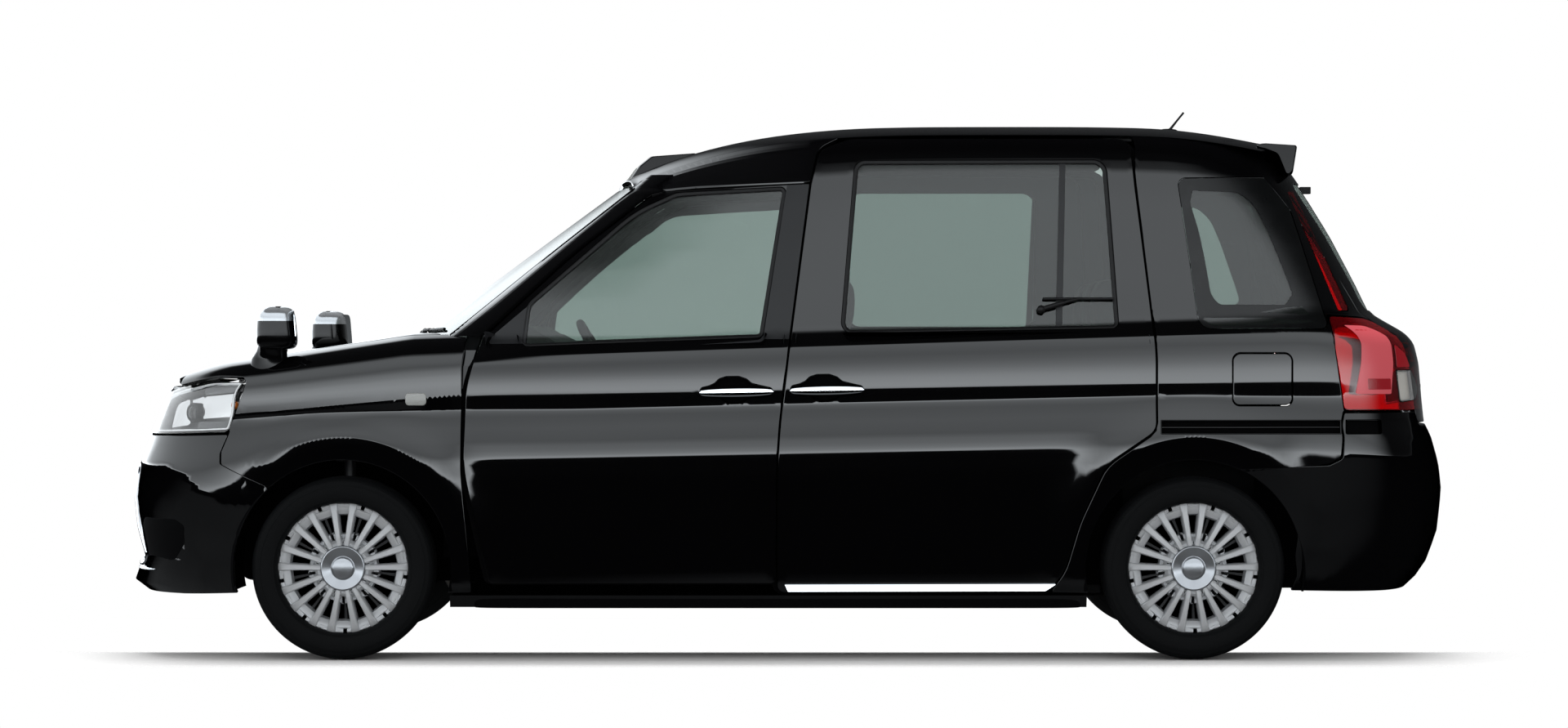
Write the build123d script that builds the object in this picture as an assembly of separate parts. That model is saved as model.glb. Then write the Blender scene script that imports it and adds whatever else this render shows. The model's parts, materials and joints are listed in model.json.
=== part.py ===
"""Tall five-door taxi cab with a sliding rear door on its left side.

Millimetres. X runs from the nose (-X) to the tail (+X), +Z is up and -Y is the
car's left side. The origin is on the ground under the middle of the body.
"""
from build123d import *
import math
import os

# ------------------------------------------------------------------ driving dimensions
LENGTH = 4400.0
WIDTH = 1695.0
HEIGHT = 1750.0            # ground to the top of the roof panel
WHEELBASE = 2750.0
FRONT_OVERHANG = 765.0     # nose to front axle
TRACK = 1470.0             # tyre centre to tyre centre
TYRE_R = 296.0             # rolling radius under the car's own weight
TYRE_W = 185.0
RIM_R = 190.5              # bead seat of a 15 inch wheel
GROUND_CLEAR = 199.0       # underside of the sills
BELT_Z = 1060.0            # foot of the side windows
DOOR_FOOT_Z = 244.0
PANEL_GAP = 6.0            # shut line between neighbouring panels
FIT = 0.3                  # running clearance at pins and seats

SKIN_T = 12.0              # flange that carries a door's outline
REBATE = 16.0              # the door body stops this far inside that outline
DOOR_T = 100.0             # whole door below the belt
FRAME_T = 46.0             # window frame above the belt
GLASS_T = 5.0
GLASS_INSET = 5.0
PILLAR_T = 150.0           # depth of the pillars and sills, skin to trim
WALL_T = 60.0              # rear quarters and tailgate
BUMPER_T = 55.0
BONNET_T = 22.0
WING_T = 28.0
ROOF_T = 30.0
SCREEN_DEPTH = 9.0         # windscreen glass, measured level
COWL_H = 62.0
ARCH_R = 352.0             # wheel arch lip
RAIL_DEPTH = 102.0         # roof rails, skin to trim
LOW_HINGE_Z = 430.0        # door hinges
TOP_HINGE_Z = 830.0
LID_T = 8.0                # fuel lid

# ------------------------------------------------------------------ stations worked out
NOSE_X = -LENGTH / 2
TAIL_X = LENGTH / 2
FRONT_AXLE_X = NOSE_X + FRONT_OVERHANG
REAR_AXLE_X = FRONT_AXLE_X + WHEELBASE
WING_DOOR_X = FRONT_AXLE_X + 387.0      # foremost point of the front door
CENTRE_X = (FRONT_AXLE_X + REAR_AXLE_X) / 2
B_X = CENTRE_X + 26.0                   # foot of the line between the doors
C_X = REAR_AXLE_X - 121.0               # rear edge of the rear doors at the belt
HALF_W = WIDTH / 2
HALF_TRACK = TRACK / 2
DOOR_TOP_Z = HEIGHT - 203.0
TALL_DOOR_TOP_Z = HEIGHT - 53.0
SILL_TOP_Z = DOOR_FOOT_Z - 30 - PANEL_GAP
BEHIND_DOOR = (DOOR_T + PANEL_GAP, FRAME_T + PANEL_GAP)
RAIL_Z = HEIGHT - 133.0                 # where the side turns over into the roof


# ------------------------------------------------------------------ shape tables
# side wall seen from the front: height, how far inside the full half width
SIDE_PROFILE = [
    (GROUND_CLEAR - 30, 62.0),
    (DOOR_FOOT_Z, 24.0),
    (350.0, 11.5),
    (500.0, 4.5),
    (655.0, 0.0),
    (820.0, 14.5),
    (880.0, 15.5),
    (950.0, 23.5),
    (BELT_Z - 50, 35.5),
    (BELT_Z, 47.5),
    (RAIL_Z, 157.5),
    (HEIGHT - 45, 232.0),
]
# side wall seen from above: station, further inset below the belt, at it, at the roof
SIDE_PLAN = [
    (NOSE_X + 330, 42.0, 110.0, 110.0),
    (FRONT_AXLE_X - 60, 13.0, 100.0, 110.0),
    (WING_DOOR_X - 40, 4.0, 72.0, 96.0),
    (WING_DOOR_X + 90, 2.0, 28.0, 78.0),
    (WING_DOOR_X + 550, 0.0, 6.0, 48.0),
    (CENTRE_X + 60, 0.0, 0.0, 12.0),
    (CENTRE_X + 760, 0.0, 0.0, 0.0),
    (REAR_AXLE_X + 10, 2.0, 5.0, 6.0),
    (REAR_AXLE_X + 400, 12.0, 22.0, 22.0),
    (TAIL_X - 230, 30.0, 60.0, 60.0),
]
# height, centre line of the nose
NOSE_PROFILE = [
    (205.0, NOSE_X + 130),
    (224.0, NOSE_X + 16),
    (253.0, NOSE_X),
    (318.0, NOSE_X + 38),
    (416.0, NOSE_X + 15),
    (520.0, NOSE_X + 7),
    (611.0, NOSE_X + 21),
    (709.0, NOSE_X + 61),
    (807.0, NOSE_X + 94),
    (872.0, NOSE_X + 129),
    (920.0, NOSE_X + 205),
]
# height, centre line of the tail
TAIL_PROFILE = [
    (214.0, TAIL_X - 130),
    (276.0, TAIL_X - 60),
    (400.0, TAIL_X - 14),
    (540.0, TAIL_X),
    (656.0, TAIL_X - 18),
    (757.0, TAIL_X - 59),
    (826.0, TAIL_X - 64),
    (958.0, TAIL_X - 75),
    (1024.0, TAIL_X - 91),
    (1057.0, TAIL_X - 119),
    (BELT_Z + 30, TAIL_X - 176),
    (BELT_Z + 62, TAIL_X - 234),
    (1221.0, TAIL_X - 278),
    (1386.0, TAIL_X - 363),
    (HEIGHT - 233, TAIL_X - 442),
    (HEIGHT - 133, TAIL_X - 510),
    (HEIGHT - 62, TAIL_X - 590),
]
# station, top of the bonnet on the centre line
BONNET_PROFILE = [
    (NOSE_X + 142, 884.0),
    (NOSE_X + 164, 904.0),
    (NOSE_X + 210, 923.0),
    (NOSE_X + 319, 956.0),
    (NOSE_X + 500, 985.0),
    (FRONT_AXLE_X + 210, BELT_Z),
    (WING_DOOR_X + 20, BELT_Z + 4),
]
# station, top of the roof on the centre line, half width of the roof panel
ROOF_PROFILE = [
    (WING_DOOR_X + 471, HEIGHT - 211, 590.0),
    (WING_DOOR_X + 540, HEIGHT - 160, 600.0),
    (WING_DOOR_X + 762, HEIGHT - 81, 608.0),
    (WING_DOOR_X + 984, HEIGHT - 34, 612.0),
    (CENTRE_X + 328, HEIGHT - 4, 614.0),
    (CENTRE_X + 760, HEIGHT, 614.0),
    (CENTRE_X + 1102, HEIGHT, 612.0),
    (REAR_AXLE_X - 51, HEIGHT - 9, 606.0),
    (REAR_AXLE_X + 170, HEIGHT - 40, 598.0),
    (TAIL_X - 606, HEIGHT - 60, 590.0),
]
ROOF_CROWN = 46.0

# panel outlines seen from the side: x, z, corner radius
B_LINE_FOOT = (B_X + 2, 690.0, 2500.0)
B_LINE_BELT = (B_X + 46, BELT_Z - 15, 2500.0)
B_LINE_TOP_X = B_X + 112
FRONT_DOOR = [
    (B_X + 1, DOOR_FOOT_Z, 20.0),
    B_LINE_FOOT,
    B_LINE_BELT,
    (B_LINE_TOP_X, DOOR_TOP_Z, 12.0),
    (WING_DOOR_X + 618, DOOR_TOP_Z - 28, 150.0),
    (WING_DOOR_X + 348, DOOR_TOP_Z - 238, 1800.0),
    (WING_DOOR_X + 86, BELT_Z + 3, 8.0),
    (WING_DOOR_X + 63, BELT_Z, 25.0),
    (WING_DOOR_X + 9, 880.0, 300.0),
    (WING_DOOR_X, 620.0, 500.0),
    (WING_DOOR_X + 82, DOOR_FOOT_Z, 25.0),
]
FRONT_WINDOW = [
    (B_X - 44, BELT_Z - 18, 20.0),
    (B_X + 34, DOOR_TOP_Z - 15, 18.0),
    (WING_DOOR_X + 688, DOOR_TOP_Z - 33, 90.0),
    (WING_DOOR_X + 548, DOOR_TOP_Z - 97, 400.0),
    (WING_DOOR_X + 206, BELT_Z + 90, 60.0),
    (WING_DOOR_X + 188, BELT_Z - 47, 20.0),
]
REAR_DOOR_TAIL = [
    (C_X, 740.0, 55.0),
    (REAR_AXLE_X - 285, 628.0, 140.0),
    (REAR_AXLE_X - 372, 440.0, 500.0),
    (REAR_AXLE_X - 415, 290.0, 200.0),
    (REAR_AXLE_X - 468, DOOR_FOOT_Z - 30, 55.0),
]
SLIDING_DOOR = [
    (B_X + 1, DOOR_FOOT_Z - 30, 25.0),
    B_LINE_FOOT,
    B_LINE_BELT,
    (B_LINE_TOP_X, DOOR_TOP_Z, 400.0),
    (B_LINE_TOP_X + 29, TALL_DOOR_TOP_Z - 37, 60.0),
    (B_LINE_TOP_X + 129, TALL_DOOR_TOP_Z, 90.0),
    (C_X - 72, TALL_DOOR_TOP_Z, 45.0),
    (C_X - 58, DOOR_TOP_Z - 17, 500.0),
    (C_X, BELT_Z - 60, 900.0),
] + REAR_DOOR_TAIL
REAR_DOOR = [
    (B_X + 1, DOOR_FOOT_Z - 30, 25.0),
    B_LINE_FOOT,
    B_LINE_BELT,
    (B_LINE_TOP_X + 12, RAIL_Z + 30, 40.0),
    (C_X - 66, RAIL_Z + 30, 60.0),
    (C_X, BELT_Z - 60, 900.0),
] + REAR_DOOR_TAIL
REAR_WINDOW = [
    (B_X + 208, BELT_Z - 5, 35.0),
    (B_X + 257, RAIL_Z + 1, 35.0),
    (C_X - 154, RAIL_Z + 3, 45.0),
    (C_X - 121, BELT_Z + 12, 22.0),
]
QUARTER_WINDOW = [
    (REAR_AXLE_X - 43, HEIGHT - 190, 25.0),
    (REAR_AXLE_X + 305, HEIGHT - 184, 20.0),
    (REAR_AXLE_X + 442, BELT_Z + 10, 20.0),
    (REAR_AXLE_X + 20, BELT_Z + 10, 45.0),
]
HIGH_LAMP = [
    (TAIL_X - 556, HEIGHT - 226, 6.0),
    (TAIL_X - 531, HEIGHT - 225, 6.0),
    (TAIL_X - 364, BELT_Z + 69, 6.0),
    (TAIL_X - 404, BELT_Z + 69, 6.0),
]
TAIL_LAMP = [
    (TAIL_X - 443, BELT_Z + 54, 14.0),
    (TAIL_X - 312, BELT_Z + 46, 100.0),
    (TAIL_X - 166, BELT_Z - 18, 30.0),
    (TAIL_X - 90, 897.0, 200.0),
    (TAIL_X - 60, 805.0, 10.0),
    (TAIL_X - 397, 806.0, 14.0),
]
HEADLAMP = [
    (NOSE_X + 455, 909.0, 20.0),
    (NOSE_X + 350, 912.0, 60.0),
    (NOSE_X + 60, 846.0, 20.0),
    (NOSE_X + 40, 724.0, 14.0),
    (NOSE_X + 390, 733.0, 18.0),
]
FUEL_LID = [
    (REAR_AXLE_X + 126, 989.0, 24.0),
    (REAR_AXLE_X + 315, 989.0, 24.0),
    (REAR_AXLE_X + 315, 812.0, 24.0),
    (REAR_AXLE_X + 126, 812.0, 24.0),
]
REAR_BUMPER_EDGE = [
    (TAIL_X - 398, 805.7, 6.0),
    (TAIL_X - 405, 650.0, 28.0),
    (TAIL_X - 450, 628.0, 28.0),
    (REAR_AXLE_X + 200, 620.0, 6.0),
]
FRONT_BUMPER_EDGE = [
    (NOSE_X + 398, 733.0, 6.0),
    (NOSE_X + 371, 670.0, 20.0),
    (NOSE_X + 371, 630.0, 20.0),
    (FRONT_AXLE_X - 250, 560.0, 6.0),
]


# ------------------------------------------------------------------ helpers
def read_table(rows, key, column=1):
    """Straight-line reading of a column of a table sorted by its first column."""
    if key <= rows[0][0]:
        return rows[0][column]
    for low, high in zip(rows, rows[1:]):
        if key <= high[0]:
            share = (key - low[0]) / (high[0] - low[0])
            return low[column] + share * (high[column] - low[column])
    return rows[-1][column]


def half_width(x, z):
    """Distance from the car's middle plane to its side skin."""
    low = read_table(SIDE_PLAN, x, 1)
    belt = read_table(SIDE_PLAN, x, 2)
    top = read_table(SIDE_PLAN, x, 3)
    shift_z = BELT_Z - 50
    if z <= shift_z:
        inset = low
    elif z <= BELT_Z:
        inset = low + (belt - low) * (z - shift_z) / (BELT_Z - shift_z)
    else:
        inset = belt + (top - belt) * (z - BELT_Z) / (HEIGHT - 45 - BELT_Z)
    return HALF_W - read_table(SIDE_PROFILE, z) - inset


def rounded(rows):
    """Closed face in the XY plane from rows of a, b, corner radius.

    A corner's arc takes at most 0.48 of the shorter side beside it.
    """
    points = [Vector(a, b) for a, b, _ in rows]
    corners = []
    for index, (_, _, radius) in enumerate(rows):
        corner = points[index]
        back = points[index - 1] - corner
        ahead = points[(index + 1) % len(points)] - corner
        if radius == 0:
            corners.append((corner, corner, corner))
            continue
        half_turn = (math.pi - math.radians(back.get_angle(ahead))) / 2
        cut = min(radius * math.tan(half_turn), 0.48 * back.length, 0.48 * ahead.length)
        sagitta = cut / math.tan(half_turn) * (1 / math.cos(half_turn) - 1)
        inward = (back.normalized() + ahead.normalized()).normalized()
        corners.append((corner + back.normalized() * cut, corner + inward * sagitta,
                        corner + ahead.normalized() * cut))
    edges = []
    for index, (start, middle, end) in enumerate(corners):
        if (end - start).length > 0:
            edges.append(Edge.make_three_point_arc(start, middle, end))
        edges.append(Edge.make_line(end, corners[(index + 1) % len(corners)][0]))
    return make_face(edges)


def outline(rows, grow=0.0):
    """Face in the XZ plane from rows of x, z, corner radius, grown or shrunk."""
    face = rounded(rows)
    if grow:
        face = offset(face, amount=grow, kind=Kind.INTERSECTION)
    return Plane.XZ * face


def left_prism(rows, grow=0.0, reach=WIDTH):
    """The outline's prism from the middle plane out through the left side."""
    return extrude(outline(rows, grow), amount=reach, dir=(0, -1, 0))


def cross_prism(rows, grow=0.0):
    """The outline's prism through both sides."""
    return extrude(outline(rows, grow), amount=WIDTH, both=True)


def span(x0, x1, y0, y1, z0, z1):
    """Block between two opposite corners."""
    middle = ((x0 + x1) / 2, (y0 + y1) / 2, (z0 + z1) / 2)
    return Location(middle) * Box(x1 - x0, y1 - y0, z1 - z0)


def disc(x, y0, y1, z, radius):
    """Cylinder lying across the car between two y places."""
    return Location((x, (y0 + y1) / 2, z), (90, 0, 0)) * Cylinder(radius, abs(y1 - y0))


def rod(start, end, radius):
    """Round bar between two points."""
    line = Line(start, end)
    return sweep(Plane(origin=line @ 0, z_dir=line % 0) * Circle(radius), path=line)


def both_sides(piece):
    """The piece and its mirror image, as separate solids."""
    return Compound(children=[*piece.solids(), *mirror(piece, about=Plane.XZ).solids()])


def right_side(piece):
    return mirror(piece, about=Plane.XZ)


# ------------------------------------------------------------------ body surfaces
def side_wall(near, far, first, last):
    """Left wall between two depths inside the outer surface.

    Each depth is a pair: the first holds below the belt, the second from the belt up.
    """
    stations = [x for x, *_ in SIDE_PLAN if first < x < last]
    sections = []
    for x in [first, *stations, last]:
        outer = []
        inner = []
        for z, _ in SIDE_PROFILE:
            level = 0 if z < BELT_Z else 1
            outer.append((-half_width(x, z) + near[level], z))
            inner.append((-half_width(x, z) + far[level], z))
        ring = Polyline(*outer, *reversed(inner), close=True)
        sections.append(Plane.YZ.offset(x) * make_face(ring))
    return loft(sections, ruled=True)


def plan_ring(z, end_x, close_x, inset):
    """Level section of the nose or tail: blunt end with rounded corners."""
    inward = 1.0 if end_x < close_x else -1.0
    end = end_x + inward * inset

    def wide(x):
        return half_width(x, z) - inset

    full = wide(end_x + inward * 300)
    half = [
        (close_x, wide(close_x), 0.0),
        (end_x + inward * 340, wide(end_x + inward * 340), 500.0),
        (end + inward * 215, full * 0.965, 190.0),
        (end + inward * 62, full * 0.79, 200.0),
        (end, full * 0.40, 1200.0),
    ]
    rows = half + [(x, -y, r) for x, y, r in reversed(half)]
    return Plane.XY.offset(z) * rounded(rows)


def tail_body(inset):
    """Everything behind the rear doors as one solid, its skin moved in by the inset."""
    close_x = C_X - 90
    return loft([plan_ring(z, x, close_x, inset) for z, x in TAIL_PROFILE], ruled=True)


def nose_body(inset):
    """Everything ahead of the front wheels up to the bonnet's edge."""
    close_x = FRONT_AXLE_X - 120
    return loft([plan_ring(z, x, close_x, inset) for z, x in NOSE_PROFILE], ruled=True)


def bonnet_body(inset):
    """Front wings and bonnet as one crowned solid, its skin moved in by the inset."""
    sections = []
    for x, top in BONNET_PROFILE:
        crown = top - inset
        edge_y = min(half_width(x, 820.0), half_width(x, 655.0)) - inset
        levels = [(half_width(x, z) - inset, z) for z in (GROUND_CLEAR, 350.0, 500.0, 655.0, 740.0)]
        levels += [
            (edge_y - 2, crown - 105),
            (edge_y - 28, crown - 62),
            (edge_y - 125, crown - 30),
        ]
        last_y, last_z = levels[-1]
        right = Polyline(*levels)
        left = Polyline(*[(-y, z) for y, z in levels])
        top_arc = ThreePointArc((last_y, last_z), (0, crown), (-last_y, last_z))
        foot = Line((-levels[0][0], levels[0][1]), levels[0])
        ring = make_face([*right.edges(), top_arc, *left.edges(), foot])
        sections.append(Plane.YZ.offset(x) * ring)
    return loft(sections, ruled=True)


SIDE_FIRST = WING_DOOR_X - 60
SIDE_LAST = C_X + 60


def arches(radius=ARCH_R):
    """Cutters for the four wheel arches."""
    cutters = []
    for axle_x in (FRONT_AXLE_X, REAR_AXLE_X):
        for side in (-1, 1):
            cutters.append(disc(axle_x, side * 380, side * WIDTH, TYRE_R, radius))
    return cutters


# ------------------------------------------------------------------ doors
def door(rows, window, wall):
    """A left-hand door: outline flange, door body and window frame, without its glass."""
    skin, body = wall
    edge = left_prism(rows, -PANEL_GAP / 2)
    core = left_prism(rows, -PANEL_GAP / 2 - REBATE)
    return (skin & edge) + (body & core) - left_prism(window)


def door_glass(window):
    back = GLASS_INSET + GLASS_T
    pane = side_wall((GLASS_INSET, GLASS_INSET), (back, back), SIDE_FIRST, SIDE_LAST)
    return pane & left_prism(window)


# ------------------------------------------------------------------ wheels and running gear
def tyre():
    """Tyre as one ring of revolution about the Y axis, centred on the origin."""
    half = TYRE_W / 2
    profile = [
        (RIM_R + FIT, -half * 0.66),
        (RIM_R + 12, -half * 0.70),
        (RIM_R + 30, -half * 0.94),
        (RIM_R + 62, -half),
        (TYRE_R - 14, -half * 0.88),
        (TYRE_R - 3, -half * 0.74),
        (TYRE_R, -half * 0.45),
        (TYRE_R, half * 0.45),
        (TYRE_R - 3, half * 0.74),
        (TYRE_R - 14, half * 0.88),
        (RIM_R + 62, half),
        (RIM_R + 30, half * 0.94),
        (RIM_R + 12, half * 0.70),
        (RIM_R + FIT, half * 0.66),
        (RIM_R + 17, half * 0.60),
        (TYRE_R - 24, half * 0.70),
        (TYRE_R - 12, half * 0.4),
        (TYRE_R - 12, -half * 0.4),
        (TYRE_R - 24, -half * 0.70),
        (RIM_R + 17, -half * 0.60),
    ]
    return revolve(make_face(Polyline(*profile, close=True)), axis=Axis.Y)


def wheel():
    """Rim, disc and full cover; the cover faces -Y."""
    half = TYRE_W / 2
    lip = RIM_R + 9
    rim = [
        (RIM_R, half * 0.72),
        (lip, half * 0.73),
        (lip, half * 0.80),
        (RIM_R - 8, half * 0.80),
        (RIM_R - 10, half * 0.1),
        (RIM_R - 22, -half * 0.3),
        (60.0, -half * 0.34),
        (HUB_R, -half * 0.34),
        (HUB_R, -half * 0.44),
        (0.0, -half * 0.44),
        (0.0, -half * 0.98),
        (30.0, -half * 0.98),
        (46.0, -half * 0.84),
        (110.0, -half * 0.86),
        (COVER_R - 22, -half * 0.9),
        (COVER_R, -half * 0.95),
        (COVER_R, -half * 0.84),
        (RIM_R, -half * 0.78),
    ]
    return revolve(make_face(Polyline(*rim, close=True)), axis=Axis.Y)


HUB_R = 34.0
COVER_R = 206.0
SLOTS = 20


def slotted_wheel():
    """Wheel with the ring of narrow windows between its spokes."""
    half = TYRE_W / 2
    body = wheel()
    cutters = []
    for turn in range(SLOTS):
        angle = 360.0 * turn / SLOTS
        slot = Location((128, -half * 0.9, 0)) * Box(62, 24, 13)
        cutters.append(slot.rotate(Axis.Y, angle))
    return body - cutters


KING_FOOT = (FRONT_AXLE_X, 650.0, 205.0)
KING_TOP = (FRONT_AXLE_X, 545.0, 842.0)
ROOM_CHAMFER = 24.0
ROOM_ANGLES = (-37, -30, -23, -16, -8, 0, 8, 16, 23, 30, 37)
ROOM_GROW = 8.0
KING_LEAN = math.atan2(KING_FOOT[1] - KING_TOP[1], KING_TOP[2] - KING_FOOT[2])
STRUT_R = 19.0
COIL_R = 52.0
CARRIER_R = 22.0
ARM_R = 15.0


def king_point(z, side):
    share = (z - KING_FOOT[2]) / (KING_TOP[2] - KING_FOOT[2])
    y = KING_FOOT[1] + share * (KING_TOP[1] - KING_FOOT[1])
    return (FRONT_AXLE_X, side * y, z)


def wheel_room(side):
    """Room that a front tyre sweeps from lock to lock, a little wider all round."""
    drum = Cylinder(TYRE_R + ROOM_GROW, TYRE_W + 2 * ROOM_GROW)
    drum = chamfer(drum.edges().filter_by(GeomType.CIRCLE), ROOM_CHAMFER)
    drum = Location((FRONT_AXLE_X, side * HALF_TRACK, TYRE_R), (90, 0, 0)) * drum
    foot, top = king_point(KING_FOOT[2], side), king_point(KING_TOP[2], side)
    king_pin = Axis(foot, tuple(high - low for low, high in zip(foot, top)))
    return [drum.rotate(king_pin, angle) for angle in ROOM_ANGLES]


def knuckle(side):
    """Hub carrier, strut and coil on the steering axis, with the stub that carries the wheel."""
    foot = king_point(KING_FOOT[2], side)
    stub_out = side * (HALF_TRACK + TYRE_W / 2 * 0.44 - FIT)
    stub = disc(FRONT_AXLE_X, side * 630, stub_out, TYRE_R, HUB_R - FIT)
    carrier = rod(foot, king_point(TYRE_R + 130, side), CARRIER_R)
    strut_top = KING_TOP[2] - STRUT_R * math.sin(KING_LEAN) - FIT
    strut = rod(king_point(TYRE_R + 100, side), king_point(strut_top, side), STRUT_R)
    coil = rod(king_point(640, side), king_point(KING_TOP[2] - 30, side), COIL_R)
    brake = disc(FRONT_AXLE_X, side * 684, side * 672, TYRE_R, 122)
    arm = rod((FRONT_AXLE_X, side * 640, TYRE_R), (FRONT_AXLE_X + 120, side * 610, TYRE_R - 28), 12)
    return stub + carrier + strut + coil + brake + arm


def front_subframe():
    """Crossmember, lower arms, steering rack and its track rods."""
    beam = span(FRONT_AXLE_X + 20, FRONT_AXLE_X + 160, -330, 330, 180, 250)
    pieces = [beam]
    for side in (-1, 1):
        y0, y1 = sorted((side * 300, side * (CHASSIS_Y + 40)))
        pieces.append(span(FRONT_AXLE_X + 60, FRONT_AXLE_X + 140, y0, y1, 225, 300))
        eye = king_point(KING_FOOT[2], side)
        ball = (eye[0], eye[1], eye[2] - CARRIER_R * math.sin(KING_LEAN) - ARM_R - FIT)
        pieces.append(rod((FRONT_AXLE_X + 30, side * 300, ball[2]), ball, ARM_R))
        pieces.append(rod((FRONT_AXLE_X + 150, side * 300, ball[2]), ball, ARM_R))
    rack = rod((FRONT_AXLE_X + 130, -330, 268), (FRONT_AXLE_X + 130, 330, 268), 22)
    pieces.append(rack)
    return pieces[0].fuse(*pieces[1:])


def rear_axle():
    """Torsion beam with trailing arms, stub axles, springs and dampers."""
    beam_x = STEP_X + 90
    pieces = [rod((beam_x, -560, 285), (beam_x, 560, 285), 34)]
    for side in (-1, 1):
        arm_y = side * 560
        pieces.append(rod((STEP_X + FIT, arm_y, 250), (beam_x, arm_y, 285), 26))
        pieces.append(rod((beam_x, arm_y, 285), (REAR_AXLE_X, arm_y, TYRE_R), 26))
        stub_out = side * (HALF_TRACK + TYRE_W / 2 * 0.44 - FIT)
        pieces.append(disc(REAR_AXLE_X, arm_y, stub_out, TYRE_R, HUB_R - FIT))
        pieces.append(disc(REAR_AXLE_X, side * 664, side * 650, TYRE_R, 115))
        seat_x = beam_x + 10
        pieces.append(rod((seat_x, side * 430, 285), (seat_x, side * 430, FLOOR_REAR_Z), 45))
        pieces.append(rod((REAR_AXLE_X + 30, arm_y, TYRE_R), (REAR_AXLE_X + 30, side * 500, FLOOR_REAR_Z - 6), 18))
    return pieces[0].fuse(*pieces[1:])


# ------------------------------------------------------------------ structure
FLOOR_T = 26.0
FLOOR_Z = GROUND_CLEAR + 8
FLOOR_REAR_Z = 470.0
FIREWALL_X = WING_DOOR_X - 30
INNER_WING_Y = 450.0
CHASSIS_Y = 400.0
ENGINE_BACK_X = FRONT_AXLE_X + 190
WELL_Y = 520.0
STEP_X = REAR_AXLE_X - 290
FLOOR_HALF_W = half_width(WING_DOOR_X - 40, FLOOR_Z) - PILLAR_T


def floor_pan():
    """Cabin floor, heel step, raised rear floor, firewall, inner wings and strut towers."""
    low = span(FIREWALL_X, STEP_X, -FLOOR_HALF_W, FLOOR_HALF_W, FLOOR_Z, FLOOR_Z + FLOOR_T)
    pieces = [
        span(STEP_X - FLOOR_T, STEP_X, -WELL_Y, WELL_Y, FLOOR_Z, FLOOR_REAR_Z + FLOOR_T),
        span(STEP_X - FLOOR_T, TAIL_X - 130, -WELL_Y, WELL_Y, FLOOR_REAR_Z, FLOOR_REAR_Z + FLOOR_T),
        span(FIREWALL_X - 24, FIREWALL_X, -600, 600, FLOOR_Z, BELT_Z - 10 - COWL_H),
        span(NOSE_X + 200, NOSE_X + 262, -500, 500, 640, 700),
        span(NOSE_X + 200, NOSE_X + 262, -480, 480, 300, 360),
        span(NOSE_X + 210, NOSE_X + 250, -30, 30, 300, 700),
        span(TAIL_X - 190, TAIL_X - 130, -WELL_Y, WELL_Y, FLOOR_REAR_Z - 10, FLOOR_REAR_Z + 70),
    ]
    # left and right in turn: x span, y span from the middle plane, z span
    paired = [
        (NOSE_X + 230, FIREWALL_X - 20, INNER_WING_Y - 12, INNER_WING_Y, 330, KING_TOP[2] + 12),
        (FRONT_AXLE_X - 90, FRONT_AXLE_X + 90, INNER_WING_Y - 12, 630, KING_TOP[2], KING_TOP[2] + 12),
        (NOSE_X + 20, FIREWALL_X, CHASSIS_Y, INNER_WING_Y, 300, 360),
        (REAR_AXLE_X - 250, REAR_AXLE_X + 420, WELL_Y - 10, WELL_Y + 4, FLOOR_REAR_Z, 720),
        (REAR_AXLE_X + 300, TAIL_X - 30, 440, 500, 380, FLOOR_REAR_Z),
    ]
    for x0, x1, y0, y1, z0, z1 in paired:
        pieces.append(span(x0, x1, y0, y1, z0, z1))
        pieces.append(span(x0, x1, -y1, -y0, z0, z1))
    return low.fuse(*pieces)


def strip(x0, x1, z0, z1):
    """Left-hand prism over a plain rectangle of the side view."""
    return left_prism([(x0, z0, 0.0), (x0, z1, 0.0), (x1, z1, 0.0), (x1, z0, 0.0)])


def sills():
    """Rocker boxes below the doors, with the step they rise to behind the doors."""
    first = FRONT_AXLE_X + 345
    last = REAR_AXLE_X - 345
    low = side_wall((0, 0), (PILLAR_T, PILLAR_T), first, last)
    low = low & strip(first, last, GROUND_CLEAR - 30, SILL_TOP_Z)
    high = side_wall(BEHIND_DOOR, (PILLAR_T, PILLAR_T), first, last)
    high = high & strip(first, last, GROUND_CLEAR, 330)
    guides = side_wall((DOOR_T, DOOR_T), (DOOR_T + PANEL_GAP, DOOR_T + PANEL_GAP), first, last)
    places = strip(B_X + 250, B_X + 330, 260, 320) + strip(B_X + 620, B_X + 700, 260, 320)
    left = low + high + (guides & places)
    return Compound(children=[*left.solids(), *right_side(low + high).solids()])


def hinge_pillars():
    """Front door pillars with the hinge leaves that reach each door's front edge."""
    pillar = side_wall((WING_T, WING_T), (PILLAR_T, PILLAR_T), WING_DOOR_X - 62, WING_DOOR_X + 160)
    rows = [
        (WING_DOOR_X - 60, 330.0, 0.0),
        (WING_DOOR_X - 60, BELT_Z - 60, 0.0),
        (WING_DOOR_X + 130, BELT_Z - 60, 0.0),
        (WING_DOOR_X + 130, 330.0, 0.0),
    ]
    core = left_prism(FRONT_DOOR, -PANEL_GAP / 2 - REBATE + FIT)
    post = (pillar & left_prism(rows)) - left_prism(FRONT_DOOR, PANEL_GAP / 2)
    leaves = (pillar & hinge_bands(WING_DOOR_X - 60, WING_DOOR_X + 90)) - core
    return both_sides(post + leaves)


def hinge_bands(x0, x1):
    """Left-hand prisms at the two hinge heights of a door."""
    return strip(x0, x1, LOW_HINGE_Z - 30, LOW_HINGE_Z + 30) + strip(x0, x1, TOP_HINGE_Z - 30, TOP_HINGE_Z + 30)


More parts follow.
